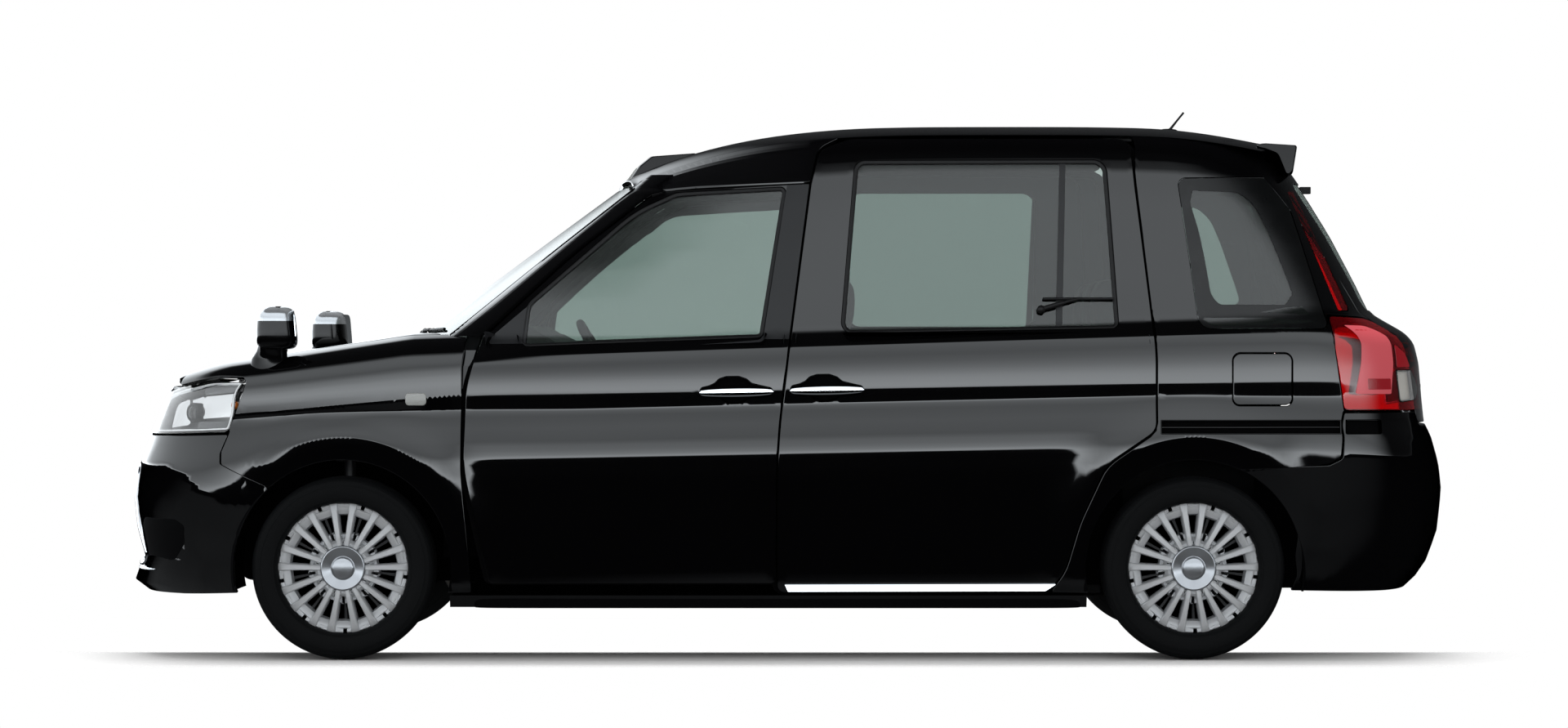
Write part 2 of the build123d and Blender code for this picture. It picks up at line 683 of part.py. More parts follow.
def b_pillars():
    """Pillars behind the line between the doors, from the sills to the roof rails."""
    wall = side_wall(BEHIND_DOOR, (PILLAR_T, RAIL_DEPTH), B_X - 200, B_X + 300)
    rows = [
        (B_X - 60, 330.0, 0.0),
        (B_X - 20, BELT_Z, 900.0),
        (B_X + 50, RAIL_Z + 14, 0.0),
        (B_X + 190, RAIL_Z + 14, 0.0),
        (B_X + 100, BELT_Z, 900.0),
        (B_X + 70, 330.0, 0.0),
    ]
    left = wall & left_prism(rows)
    leaf_wall = side_wall((SKIN_T + PANEL_GAP, SKIN_T), BEHIND_DOOR, B_X - 200, B_X + 300)
    core = left_prism(REAR_DOOR, -PANEL_GAP / 2 - REBATE + FIT)
    leaves = (leaf_wall & hinge_bands(B_X + 4, B_X + 60)) - core
    right = right_side(left + leaves)
    return Compound(children=[*left.solids(), *right.solids()])


def roof_rails():
    """Windscreen pillars running back into the rails above the doors."""
    first = WING_DOOR_X - 60
    last = C_X + 60
    outer = side_wall((0, 0), (BEHIND_DOOR[1], BEHIND_DOOR[1]), first, last)
    inner = side_wall((BEHIND_DOOR[1], BEHIND_DOOR[1]), (RAIL_DEPTH, RAIL_DEPTH), first, last)
    rows = [
        (WING_DOOR_X - 34, BELT_Z - 60, 0.0),
        (WING_DOOR_X - 34, BELT_Z + 2, 20.0),
        (WING_DOOR_X + 546, HEIGHT - 227, 60.0),
        (WING_DOOR_X + 724, HEIGHT - 113, 200.0),
        (WING_DOOR_X + 984, HEIGHT - 78, 400.0),
        (CENTRE_X + 328, HEIGHT - 47, 900.0),
        (C_X, HEIGHT - 47, 0.0),
        (C_X, RAIL_Z + 14, 0.0),
        (CENTRE_X, RAIL_Z + 14, 300.0),
        (WING_DOOR_X + 640, DOOR_TOP_Z - 70, 200.0),
        (WING_DOOR_X + 110, BELT_Z - 20, 0.0),
        (WING_DOOR_X + 84, BELT_Z - 60, 0.0),
    ]
    shape = left_prism(rows)
    doors_left = left_prism(FRONT_DOOR, PANEL_GAP / 2) + left_prism(SLIDING_DOOR, PANEL_GAP / 2)
    doors_right = left_prism(FRONT_DOOR, PANEL_GAP / 2) + left_prism(REAR_DOOR, PANEL_GAP / 2)
    hidden = inner & shape & strip(WING_DOOR_X + 640, C_X, RAIL_Z - 30, HEIGHT)
    left = (outer & shape) - doors_left + hidden
    right = (outer & shape) - doors_right + hidden
    return Compound(children=[*left.solids(), *right_side(right).solids()])


def engine():
    """Power unit and gearbox as one block between the chassis rails."""
    return span(FRONT_AXLE_X - 270, ENGINE_BACK_X, -CHASSIS_Y, CHASSIS_Y, 300, 800)


def exhaust():
    """Pipe under the floor and the silencer behind the axle, as straight runs."""
    stops = [
        (ENGINE_BACK_X + 24, 60, 330),
        (FRONT_AXLE_X + 300, 60, 178),
        (REAR_AXLE_X + 20, 60, 178),
        (TAIL_X - 520, 300, 330),
    ]
    pieces = [rod(start, end, 24) for start, end in zip(stops, stops[1:])]
    pieces.append(span(ENGINE_BACK_X, ENGINE_BACK_X + 30, 36, 84, 318, 366))
    pieces += [Location(stop) * Sphere(24) for stop in stops[1:-1]]
    silencer = Location((TAIL_X - 390, 300, 340)) * Box(280, 260, 120)
    return pieces[0].fuse(*pieces[1:], silencer)


# ------------------------------------------------------------------ cabin
def seat(x, y, width, cushion_z):
    """Cushion, back and head restraint on a plinth, facing forwards."""
    plinth = span(x - 210, x + 200, y - width * 0.36, y + width * 0.36, FLOOR_Z + FLOOR_T, cushion_z)
    cushion = [
        (x - 260, cushion_z), (x - 270, cushion_z + 110), (x + 230, cushion_z + 80), (x + 250, cushion_z)]
    back = [
        (x + 180, cushion_z + 60), (x + 330, cushion_z + 640), (x + 410, cushion_z + 640),
        (x + 290, cushion_z + 20)]
    head = [
        (x + 335, cushion_z + 640), (x + 345, cushion_z + 850), (x + 435, cushion_z + 850),
        (x + 415, cushion_z + 640)]
    pieces = []
    for rows, share in ((cushion, 1.0), (back, 0.94), (head, 0.5)):
        face = Plane.XZ.offset(-y) * make_face(Polyline(*rows, close=True))
        pieces.append(extrude(face, amount=width * share / 2, both=True))
    return plinth.fuse(*pieces)


STEER_CENTRE = (WING_DOOR_X + 400, 350.0, 935.0)
STEER_RAKE = 26.0


def steering_wheel():
    """Rim, hub and spokes, turned by the road wheels."""
    rim = Torus(178, 14)
    hub = Cylinder(46, 40)
    bars = [Box(330, 30, 14), Location((0, -80, 0)) * Box(34, 160, 14)]
    body = rim.fuse(hub, *bars)
    return Location(STEER_CENTRE, (0, 90 - STEER_RAKE, 0)) * Rotation(0, 0, 90) * body


def dashboard():
    """Dash moulding across the cabin with the column's shroud."""
    rows = [
        (FIREWALL_X, BELT_Z - 20),
        (FIREWALL_X + 230, BELT_Z + 22),
        (FIREWALL_X + 330, BELT_Z - 40),
        (FIREWALL_X + 300, BELT_Z - 190),
        (FIREWALL_X + 150, BELT_Z - 420),
        (FIREWALL_X, BELT_Z - 420),
    ]
    body = extrude(Plane.XZ * make_face(Polyline(*rows, close=True)), amount=640, both=True)
    centre = Vector(*STEER_CENTRE)
    lean = math.radians(STEER_RAKE)
    along = Vector(-math.cos(lean), 0, -math.sin(lean))
    column = rod(centre + along * (20 + FIT), centre + along * 260, 34)
    return body.fuse(column)


def mirror_stalks():
    """Wing mirrors on stalks above the front wheels."""
    x = NOSE_X + 515
    y = -(HALF_W - 88)
    foot = Location((x, y + 14, 962)) * Box(90, 40, 60)
    stalk = rod((x, y + 10, 980), (x + 4, y, 1060), 13)
    head_shape = Location((x + 30, y - 2, 1082)) * Box(120, 150, 120)
    head_shape = fillet(head_shape.edges(), 26)
    return both_sides(foot + stalk + head_shape)


def roof_light():
    """Wedge-shaped lamp housing on the front of the roof."""
    rows = [
        (WING_DOOR_X + 482, HEIGHT - 202, 8.0),
        (WING_DOOR_X + 524, HEIGHT - 132, 20.0),
        (WING_DOOR_X + 575, HEIGHT - 94, 20.0),
        (WING_DOOR_X + 720, HEIGHT - 84, 6.0),
        (WING_DOOR_X + 722, HEIGHT - 96, 3.0),
    ]
    return extrude(outline(rows), amount=190, both=True)


def antenna():
    foot = Location((REAR_AXLE_X - 10, 0, HEIGHT - 5)) * Box(60, 34, 16)
    mast = rod((REAR_AXLE_X - 8, 0, HEIGHT), (REAR_AXLE_X + 47, 0, HEIGHT + 65), 3.5)
    return foot + mast


def roof():
    """Crowned roof panel, thinner than its rails."""
    sections = []
    for x, top, half in ROOF_PROFILE:
        edge = top - ROOF_CROWN
        upper = ThreePointArc((-half, edge), (0, top), (half, edge))
        lower = ThreePointArc((half, edge - ROOF_T), (0, top - ROOF_T), (-half, edge - ROOF_T))
        sides = [Line((half, edge), (half, edge - ROOF_T)), Line((-half, edge - ROOF_T), (-half, edge))]
        sections.append(Plane.YZ.offset(x) * make_face([upper, sides[0], lower, sides[1]]))
    return loft(sections, ruled=True)


WINDSCREEN = [
    (BELT_Z - 10, FRONT_AXLE_X + 198, FRONT_AXLE_X + 338, 724.0),
    (BELT_Z + 250, FRONT_AXLE_X + 546, FRONT_AXLE_X + 655, 672.0),
    (HEIGHT - 213, FRONT_AXLE_X + 856, FRONT_AXLE_X + 940, 618.0),
]


def bowed_strip(z, middle, corner, half, depth):
    """Level face between two arcs bowed forwards, one `depth` behind the other."""
    front = ThreePointArc((corner, -half), (middle, 0), (corner, half))
    back = ThreePointArc((corner + depth, half), (middle + depth, 0), (corner + depth, -half))
    right = Line((corner, half), (corner + depth, half))
    left = Line((corner + depth, -half), (corner, -half))
    return Plane.XY.offset(z) * make_face([front, right, back, left])


def windscreen():
    """Raked screen bowed in plan; rows are height, middle x, corner x and half width."""
    return loft([bowed_strip(*row, SCREEN_DEPTH) for row in WINDSCREEN], ruled=True)


def cowl():
    """Scuttle under the foot of the windscreen, with its drain tray."""
    z, middle, corner, half = WINDSCREEN[0]
    riser = extrude(bowed_strip(z, middle, corner, half - 30, SCREEN_DEPTH), amount=COWL_H, dir=(0, 0, -1))
    tray = span(middle + SCREEN_DEPTH / 2, FIREWALL_X, -600, 600, z - COWL_H, z - COWL_H + 10)
    return riser + tray


BONNET_SIDE = [
    (NOSE_X + 205, 480.0, 80.0),
    (NOSE_X + 300, 590.0, 300.0),
    (WING_DOOR_X - 80, 696.0, 15.0),
    (WING_DOOR_X - 88, 656.0, 40.0),
    (WING_DOOR_X - 200, 300.0, 1200.0),
]


def bonnet_plan(grow):
    """Bonnet's outline from above, as a tall prism."""
    rows = BONNET_SIDE + [(x, -y, r) for x, y, r in reversed(BONNET_SIDE)]
    face = offset(rounded(rows), amount=grow, kind=Kind.INTERSECTION)
    return extrude(Plane.XY.offset(800) * face, amount=320)


LAMP_INNER_Y = 455.0
PLATE_Z = 455.0            # middle of the number plate's bracket
PLATE_HOLES = 210.0        # between the plate's two M6 screws
PLATE_HOLE_R = 3.25
TAILGATE_SIDE = [
    (612.0, 764.0, 20.0),
    (640.0, 1040.0, 60.0),
    (610.0, BELT_Z + 90, 200.0),
    (560.0, HEIGHT - 56, 20.0),
]
TAIL_WINDOW = [
    (540.0, BELT_Z + 74, 40.0),
    (505.0, HEIGHT - 196, 40.0),
]


def end_prism(rows, grow, first, last):
    """Prism along X of a mirrored outline seen from the front or rear."""
    points = list(rows) + [(-y, z, r) for y, z, r in reversed(rows)]
    face = rounded(points)
    if grow:
        face = offset(face, amount=grow, kind=Kind.INTERSECTION)
    return extrude(Plane.YZ.offset(first) * face, amount=last - first)


def rear_shape():
    """Pieces cut from the tail: quarters, lamps, tailgate, glass and bumper."""
    band = tail_body(0) - tail_body(WALL_T)
    flange = tail_body(0) - tail_body(SKIN_T)
    core = tail_body(SKIN_T) - tail_body(WALL_T)
    pane = tail_body(GLASS_INSET) - tail_body(GLASS_INSET + GLASS_T)
    arch = arches()[2:]
    gate_hole = end_prism(TAILGATE_SIDE, PANEL_GAP, REAR_AXLE_X + 100, TAIL_X + 10)
    gate = end_prism(TAILGATE_SIDE, 0, REAR_AXLE_X + 100, TAIL_X + 10)
    pane_hole = end_prism(TAIL_WINDOW, 0, REAR_AXLE_X + 100, TAIL_X + 10)
    lamp_rows = both_sides(left_prism(TAIL_LAMP))
    high_rows = both_sides(left_prism(HIGH_LAMP))
    low_edge = [
        (REAR_AXLE_X + 200, 100.0, 0.0),
        (TAIL_X + 20, 100.0, 0.0),
        (TAIL_X + 20, 804.5, 0.0),
    ] + REAR_BUMPER_EDGE
    bumper_zone = cross_prism(low_edge)
    quarter = band - gate_hole - cross_prism(low_edge, PANEL_GAP / 2)
    quarter = quarter - both_sides(left_prism(TAIL_LAMP, 2)) - high_rows
    quarter = quarter - both_sides(left_prism(QUARTER_WINDOW)) - arch
    left_half = span(0, TAIL_X + 50, -WIDTH, 0, 0, HEIGHT)
    right_half = span(0, TAIL_X + 50, 0, WIDTH, 0, HEIGHT)
    left_quarter = (quarter & left_half) - left_prism(SLIDING_DOOR, PANEL_GAP / 2)
    lid_pocket = tail_body(0) - tail_body(LID_T + FIT)
    left_quarter = left_quarter - (lid_pocket & left_prism(FUEL_LID, PANEL_GAP))
    right_quarter = (quarter & right_half) - right_side(left_prism(REAR_DOOR, PANEL_GAP / 2))
    front_cut = span(0, C_X - 80, -WIDTH, WIDTH, 0, HEIGHT)
    wall = side_wall((0, 0), (WALL_T, WALL_T), REAR_AXLE_X - 480, C_X - 80)
    foot = wall & strip(REAR_AXLE_X - 480, C_X - 80, SILL_TOP_Z + PANEL_GAP, 640)
    foot = foot - left_prism(SLIDING_DOOR, PANEL_GAP / 2) - arch
    nodes["quarter_panel_left"] = left_quarter - front_cut + foot
    nodes["quarter_panel_right"] = right_quarter - front_cut + right_side(foot)
    nodes["quarter_glasses"] = (pane & both_sides(left_prism(QUARTER_WINDOW))) - gate_hole
    nodes["tail_lamps"] = ((band & lamp_rows) + (band & high_rows)) - gate_hole
    spoiler_rows = [
        (TAIL_X - 600, HEIGHT - 62, 4.0),
        (TAIL_X - 491, HEIGHT - 76, 8.0),
        (TAIL_X - 504, HEIGHT - 160, 30.0),
        (TAIL_X - 560, HEIGHT - 130, 10.0),
    ]
    spoiler = extrude(outline(spoiler_rows), amount=556, both=True)
    gate_floor = span(REAR_AXLE_X, TAIL_X + 50, -WIDTH, WIDTH, 763, HEIGHT - 62)
    gate_rear = span(TAIL_X - 600, TAIL_X + 50, -WIDTH, WIDTH, 0, HEIGHT)
    gate_core = end_prism(TAILGATE_SIDE, -REBATE, REAR_AXLE_X + 100, TAIL_X + 10)
    gate_wall = (flange & gate) + (core & gate_core)
    nodes["tailgate"] = (gate_wall & gate_floor & gate_rear) - pane_hole + spoiler
    nodes["tailgate_glass"] = pane & pane_hole & gate_rear
    bumper = (band & bumper_zone) - arch
    nodes["rear_bumper"] = bumper - gate_hole - span(0, REAR_AXLE_X + 180, -WIDTH, WIDTH, 0, HEIGHT)
    lid = tail_body(0) - tail_body(LID_T)
    nodes["fuel_lid"] = (lid & left_prism(FUEL_LID)) & left_half


def front_shape():
    """Pieces cut from the nose: bumper, grilles and lamps, wings and bonnet."""
    band = nose_body(0) - nose_body(BUMPER_T)
    arch = arches()[:2]
    bumper_rows = [
        (NOSE_X - 20, 100.0, 0.0),
        (NOSE_X - 20, 739.0, 0.0),
        (NOSE_X + 396, 739.0, 0.0),
    ] + FRONT_BUMPER_EDGE[1:] + [(FRONT_AXLE_X - 250, 100.0, 0.0)]
    lamp_zone = span(NOSE_X - 20, NOSE_X + 500, -WIDTH, -LAMP_INNER_Y, 700, 920)
    low_grille = end_prism([(560, 300, 30), (470, 610, 40)], 0, NOSE_X - 20, NOSE_X + 200)
    high_grille = end_prism([(400, 760, 15), (LAMP_INNER_Y - 12, 862, 15)], 0, NOSE_X - 20, NOSE_X + 300)
    lamp_space = left_prism(HEADLAMP, PANEL_GAP / 2) & lamp_zone
    bumper = (band & cross_prism(bumper_rows)) - low_grille - arch
    nodes["front_bumper"] = bumper - both_sides(lamp_space)
    mesh_band = nose_body(14) - nose_body(34)
    panel_zone = span(NOSE_X - 20, NOSE_X + 340, -LAMP_INNER_Y, LAMP_INNER_Y, 739, 879)
    nodes["grille_panel"] = (band & panel_zone) - high_grille
    nodes["grilles"] = (mesh_band & low_grille) + (mesh_band & high_grille)
    bracket = span(NOSE_X + 4, NOSE_X + 60, -165, 165, PLATE_Z - 55, PLATE_Z + 55)
    for side in (-1, 1):
        hole = Location((NOSE_X + 4, side * PLATE_HOLES / 2, PLATE_Z), (0, 90, 0)) * Cylinder(PLATE_HOLE_R, 16)
        bracket = bracket - hole
    nodes["plate_bracket"] = bracket - nodes["grilles"] - nose_body(14)
    lamp = (nose_body(0) - nose_body(70)) & left_prism(HEADLAMP, -1) & lamp_zone
    nodes["headlamps"] = both_sides(lamp)
    wing_rows = [
        (NOSE_X + 459, 906.0, 10.0),
        (NOSE_X + 330, 916.0, 10.0),
        (NOSE_X + 240, 916.0, 10.0),
        (NOSE_X + 240, 1100.0, 0.0),
        (WING_DOOR_X + 200, 1100.0, 0.0),
        (WING_DOOR_X + 200, GROUND_CLEAR + 8, 0.0),
        (FRONT_AXLE_X - 250, GROUND_CLEAR + 8, 0.0),
    ] + list(reversed(FRONT_BUMPER_EDGE))
    shell = bonnet_body(0) - bonnet_body(WING_T)
    wing_zone = span(NOSE_X, WING_DOOR_X + 100, -WIDTH, -560, 0, HEIGHT)
    wing = shell & left_prism(wing_rows) & wing_zone
    wing = wing - left_prism(FRONT_DOOR, PANEL_GAP / 2) - bonnet_plan(PANEL_GAP) - arch
    wing = wing - strip(WING_DOOR_X - 34, WING_DOOR_X + 200, BELT_Z - 66, HEIGHT)
    nodes["front_wings"] = both_sides(wing - left_prism(HEADLAMP, PANEL_GAP / 2))
    lid = bonnet_body(0) - bonnet_body(BONNET_T)
    high_zone = span(NOSE_X, 0, -WIDTH, WIDTH, 885, HEIGHT)
    nodes["bonnet"] = lid & bonnet_plan(0) & high_zone
    nodes["cowl"] = cowl()


nodes = {}


def doors():
    skin = side_wall((0, 0), (SKIN_T, SKIN_T), SIDE_FIRST, SIDE_LAST)
    body = side_wall((SKIN_T, SKIN_T), (DOOR_T, FRAME_T), SIDE_FIRST, SIDE_LAST)
    wall = (skin, body)
    front = door(FRONT_DOOR, FRONT_WINDOW, wall)
    nodes["front_door_left"] = front
    nodes["front_door_right"] = right_side(front)
    nodes["sliding_door"] = door(SLIDING_DOOR, REAR_WINDOW, wall)
    nodes["rear_door_right"] = right_side(door(REAR_DOOR, REAR_WINDOW, wall))
    front_glass = door_glass(FRONT_WINDOW)
    rear_glass = door_glass(REAR_WINDOW)
    nodes["front_glass_left"] = front_glass
    nodes["front_glass_right"] = right_side(front_glass)
    nodes["sliding_door_glass"] = rear_glass
    nodes["rear_glass_right"] = right_side(rear_glass)


def structure():
    nodes["floor_pan"] = floor_pan()
    nodes["sills"] = sills()
    nodes["hinge_pillars"] = hinge_pillars()
    nodes["b_pillars"] = b_pillars()
    nodes["roof_rails"] = roof_rails()
    nodes["roof"] = roof()
    nodes["windscreen"] = windscreen()
    nodes["engine"] = engine()
    nodes["exhaust"] = exhaust()
    nodes["mirrors"] = mirror_stalks()
    nodes["roof_light"] = roof_light()
    nodes["antenna"] = antenna()


def cabin():
    left = seat(WING_DOOR_X + 844, -350, 500, 392)
    right = seat(WING_DOOR_X + 844, 350, 500, 392)
    nodes["front_seats"] = Compound(children=[left, right])
    nodes["rear_seat"] = seat(STEP_X - 345, 0, 1240, 392)
    nodes["dashboard"] = dashboard()
    nodes["steering_wheel"] = steering_wheel()


def running_gear():
    nodes["front_subframe"] = front_subframe()
    nodes["rear_axle"] = rear_axle()
    cover = slotted_wheel()
    ring = tyre()
    for name, side, axle_x in (
        ("front_left", -1, FRONT_AXLE_X),
        ("front_right", 1, FRONT_AXLE_X),
        ("rear_left", -1, REAR_AXLE_X),
        ("rear_right", 1, REAR_AXLE_X),
    ):
        place = Location((axle_x, side * HALF_TRACK, TYRE_R), (0, 0, 0 if side < 0 else 180))
        nodes["wheel_" + name] = place * cover
        nodes["tyre_" + name] = place * ring
    nodes["knuckle_left"] = knuckle(-1)
    nodes["knuckle_right"] = knuckle(1)


def trim(name, *others):
    """Cut away what the named neighbours already fill, so that the faces meet."""
    piece = nodes[name]
    for other in others:
        piece = piece - nodes[other]
    nodes[name] = piece


def keep_largest(name, count):
    """Drop the offcuts that trimming leaves, down to the piece's own solids."""
    solids = sorted(nodes[name].solids(), key=lambda solid: solid.volume)[-count:]
    nodes[name] = solids[0] if count == 1 else Compound(children=solids)


doors()
front_shape()
rear_shape()
structure()
cabin()
running_gear()
roof_edge = span(-WIDTH, TAIL_X, -WIDTH, -560, 0, HEIGHT)
nodes["roof"] = nodes["roof"] - (left_prism(SLIDING_DOOR, PANEL_GAP / 2) & roof_edge)
for side in (-1, 1):
    boss = span(TAIL_X - 650, TAIL_X - 600 - FIT, side * 410 - 30, side * 410 + 30, HEIGHT - 124, HEIGHT - 96)
    nodes["roof"] = nodes["roof"] + boss
    stay = span(WING_DOOR_X - 140, WING_DOOR_X - 100, side * 540 - 20, side * 540 + 20, BELT_Z - 70, BELT_Z - 24)
    lifted = Location((0, 0, -FIT)) * nodes["bonnet"]
    nodes["cowl"] = nodes["cowl"] + (stay - lifted)
trim("windscreen", "roof")
trim("quarter_panel_left", "roof")
trim("quarter_panel_right", "roof")
trim("roof_rails", "roof", "windscreen", "quarter_panel_left", "quarter_panel_right", "b_pillars")
trim("hinge_pillars", "sills", "roof_rails", "floor_pan", "cowl")
for name in ("hinge_pillars", "floor_pan"):
    nodes[name] = nodes[name].cut(*wheel_room(-1), *wheel_room(1))
trim("front_wings", "sills", "roof_rails", "hinge_pillars", "windscreen", "cowl")
trim("floor_pan", "rear_bumper", "front_bumper", "grilles")
for name, count in (("floor_pan", 1), ("roof_rails", 2), ("quarter_panel_left", 1), ("quarter_panel_right", 1)):
    keep_largest(name, count)
trim("mirrors", "front_wings")
trim("antenna", "roof")
trim("roof_light", "roof", "windscreen")
os.makedirs("parts", exist_ok=True)
for name, piece in nodes.items():
    export_step(piece, f"parts/{name}.step")
print(len(nodes), "nodes")
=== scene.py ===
"""Tall black taxi cab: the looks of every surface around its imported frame.

Metres, in the frame's own axes: X runs from the nose (-X) to the tail (+X), +Z is up and
-Y is the car's left side, where the sliding door is.
"""
import json
import math

import bmesh
import bpy
import numpy as np
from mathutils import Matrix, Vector, geometry


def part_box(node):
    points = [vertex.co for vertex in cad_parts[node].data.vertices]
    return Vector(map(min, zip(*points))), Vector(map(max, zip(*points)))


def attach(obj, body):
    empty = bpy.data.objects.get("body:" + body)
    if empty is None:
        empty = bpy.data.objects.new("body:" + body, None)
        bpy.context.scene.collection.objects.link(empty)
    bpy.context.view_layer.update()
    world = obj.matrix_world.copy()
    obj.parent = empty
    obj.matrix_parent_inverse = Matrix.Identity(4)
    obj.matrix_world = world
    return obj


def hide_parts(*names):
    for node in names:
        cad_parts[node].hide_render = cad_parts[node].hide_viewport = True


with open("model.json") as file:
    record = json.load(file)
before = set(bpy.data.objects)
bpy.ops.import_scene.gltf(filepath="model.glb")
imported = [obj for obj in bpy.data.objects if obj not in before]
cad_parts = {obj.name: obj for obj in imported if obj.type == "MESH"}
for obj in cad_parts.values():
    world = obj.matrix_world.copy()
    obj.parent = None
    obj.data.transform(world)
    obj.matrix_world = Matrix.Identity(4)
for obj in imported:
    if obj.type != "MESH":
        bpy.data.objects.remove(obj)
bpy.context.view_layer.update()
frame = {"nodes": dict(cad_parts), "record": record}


# ------------------------------------------------------------------ stations from the frame
def middle(node):
    low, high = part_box(node)
    return (low + high) / 2


FRONT_AXLE = middle("tyre_front_left").x
REAR_AXLE = middle("tyre_rear_left").x
HUB_Z = middle("tyre_front_left").z
HALF_TRACK = -middle("tyre_front_left").y
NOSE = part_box("front_bumper")[0].x
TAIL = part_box("rear_bumper")[1].x
HALF_W = -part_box("sliding_door")[0].y
ROOF_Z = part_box("roof")[1].z
PANEL_GAP = 0.006
FOOT_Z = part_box("front_door_left")[0].z - PANEL_GAP / 2
DOOR_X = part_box("front_door_left")[0].x - PANEL_GAP / 2
CENTRE = (FRONT_AXLE + REAR_AXLE) / 2
B_X = CENTRE + 0.026
C_X = REAR_AXLE - 0.121
BELT_Z = 1.06
RAIL_Z = ROOF_Z - 0.133
DOOR_TOP = ROOF_Z - 0.203
TALL_TOP = ROOF_Z - 0.053
DOOR_T = 0.1             # whole door below the belt
FRAME_T = 0.046            # window frame above the belt


# ------------------------------------------------------------------ smooth shape tables
def gaussian(values, sigma):
    reach = int(4 * sigma) + 1
    kernel = np.exp(-0.5 * (np.arange(-reach, reach + 1) / sigma) ** 2)
    padded = np.pad(values, reach, mode="reflect", reflect_type="odd")
    return np.convolve(padded, kernel / kernel.sum(), "valid")


def curve(rows, spread, creases=(), step=0.001):
    """Smooth reading of a table; straight stretches meet over a spread, sharply at creases."""
    keys, values = (np.array(column, float) for column in zip(*rows))
    grid = np.arange(keys[0] - 0.1, keys[-1] + 0.1, step)
    cuts = [grid[0] - 1, *creases, grid[-1] + 1]
    total = np.zeros_like(grid)
    for low, high in zip(cuts, cuts[1:]):
        inside = (keys >= low - 1e-6) & (keys <= high + 1e-6)
        k, v = keys[inside], values[inside]
        line = np.interp(grid, k, v)
        line = np.where(grid < k[0], v[0] + (grid - k[0]) * (v[1] - v[0]) / (k[1] - k[0]), line)
        line = np.where(grid > k[-1], v[-1] + (grid - k[-1]) * (v[-1] - v[-2]) / (k[-1] - k[-2]), line)
        part = gaussian(line, spread / step)
        total = np.where((grid >= low) & (grid < high), part, total)
    if creases:
        total = gaussian(total, 2.0)
    return lambda at: np.interp(at, grid, total)


def eased(value, low, high):
    share = np.clip((value - low) / (high - low), 0, 1)
    return share * share * (3 - 2 * share)


# character lines along the side: station, height
WIDEST = curve([(-2.25, 0.64), (-2.0, 0.615), (-1.85, 0.545), (-1.72, 0.56), (-1.45, 0.64), (-1.1, 0.645),
    (0.885, 0.683), (1.25, 0.69), (1.7, 0.672), (2.2, 0.66)], 0.04)
CREASE = curve([(-2.2, 0.748), (-1.77, 0.777), (-1.5, 0.799), (-1.036, 0.807), (-0.693, 0.808),
    (-0.009, 0.825), (1.194, 0.852), (1.783, 0.849), (2.2, 0.846)], 0.06)
BAND = curve([(-2.2, 0.765), (-1.77, 0.797), (-1.65, 0.804), (-1.5, 0.82), (-1.164, 0.849), (-1.009, 0.865),
    (1.746, 0.912), (2.2, 0.914)], 0.05)
BELT = curve([(-2.2, 0.945), (-1.01, 0.978), (1.746, 1.062), (2.2, 1.07)], 0.03)
# roof's centre line: station, height
ROOF_TOP = curve([(-0.6, 1.528), (-0.522, 1.585), (-0.396, 1.635), (-0.286, 1.669), (-0.175, 1.696),
    (-0.064, 1.716), (0.046, 1.73), (0.157, 1.74), (0.268, 1.746), (0.45, 1.7495), (0.7, 1.75), (0.95, 1.75),
    (1.15, 1.7475), (1.264, 1.743), (1.374, 1.731), (1.485, 1.713), (1.61, 1.688)], 0.05)
# how far inside the full half width: reference height, inset
SIDE = curve([(0.15, 0.078), (0.169, 0.062), (0.244, 0.024), (0.35, 0.0115), (0.5, 0.0045), (0.6, 0.001),
    (0.655, 0.0), (0.665, 0.0003), (0.68, 0.0011), (0.712, 0.0034), (0.744, 0.007), (0.775, 0.011),
    (0.807, 0.0142), (0.821, 0.0151), (0.858, 0.0142), (0.8648, 0.01421), (0.8839, 0.01427),
    (0.9026, 0.01441), (0.9209, 0.01482), (0.94, 0.01569), (0.959, 0.01689), (0.978, 0.0183), (0.997, 0.0201),
    (1.01, 0.022), (1.06, 0.0475), (1.2, 0.0715), (1.35, 0.099), (1.5, 0.1305), (1.59, 0.152), (1.64, 0.169),
    (1.675, 0.191), (1.705, 0.23), (1.725, 0.265)], 0.007, creases=(0.821, 0.858, 1.01))
# further inset in plan below the belt, at it and at the roof
PLAN_LOW = curve([(-2.0, 0.06), (-1.87, 0.042), (-1.495, 0.013), (-1.088, 0.004), (-0.958, 0.002),
    (-0.498, 0.0), (0.7, 0.0), (1.0, 0.002), (1.325, 0.007), (1.715, 0.014), (1.97, 0.03), (2.2, 0.05)], 0.08)
PLAN_BELT = curve([(-1.495, 0.1), (-1.088, 0.066), (-0.958, 0.03), (-0.75, 0.012), (-0.498, 0.005),
    (0.0, 0.0), (0.7, 0.0), (1.325, 0.007), (1.715, 0.022), (1.97, 0.06), (2.2, 0.09)], 0.06)
PLAN_ROOF = curve([(-1.495, 0.11), (-1.088, 0.096), (-0.958, 0.078), (-0.498, 0.046), (0.0, 0.012),
    (0.7, 0.0), (1.325, 0.008), (1.715, 0.022), (1.97, 0.06), (2.2, 0.09)], 0.08)
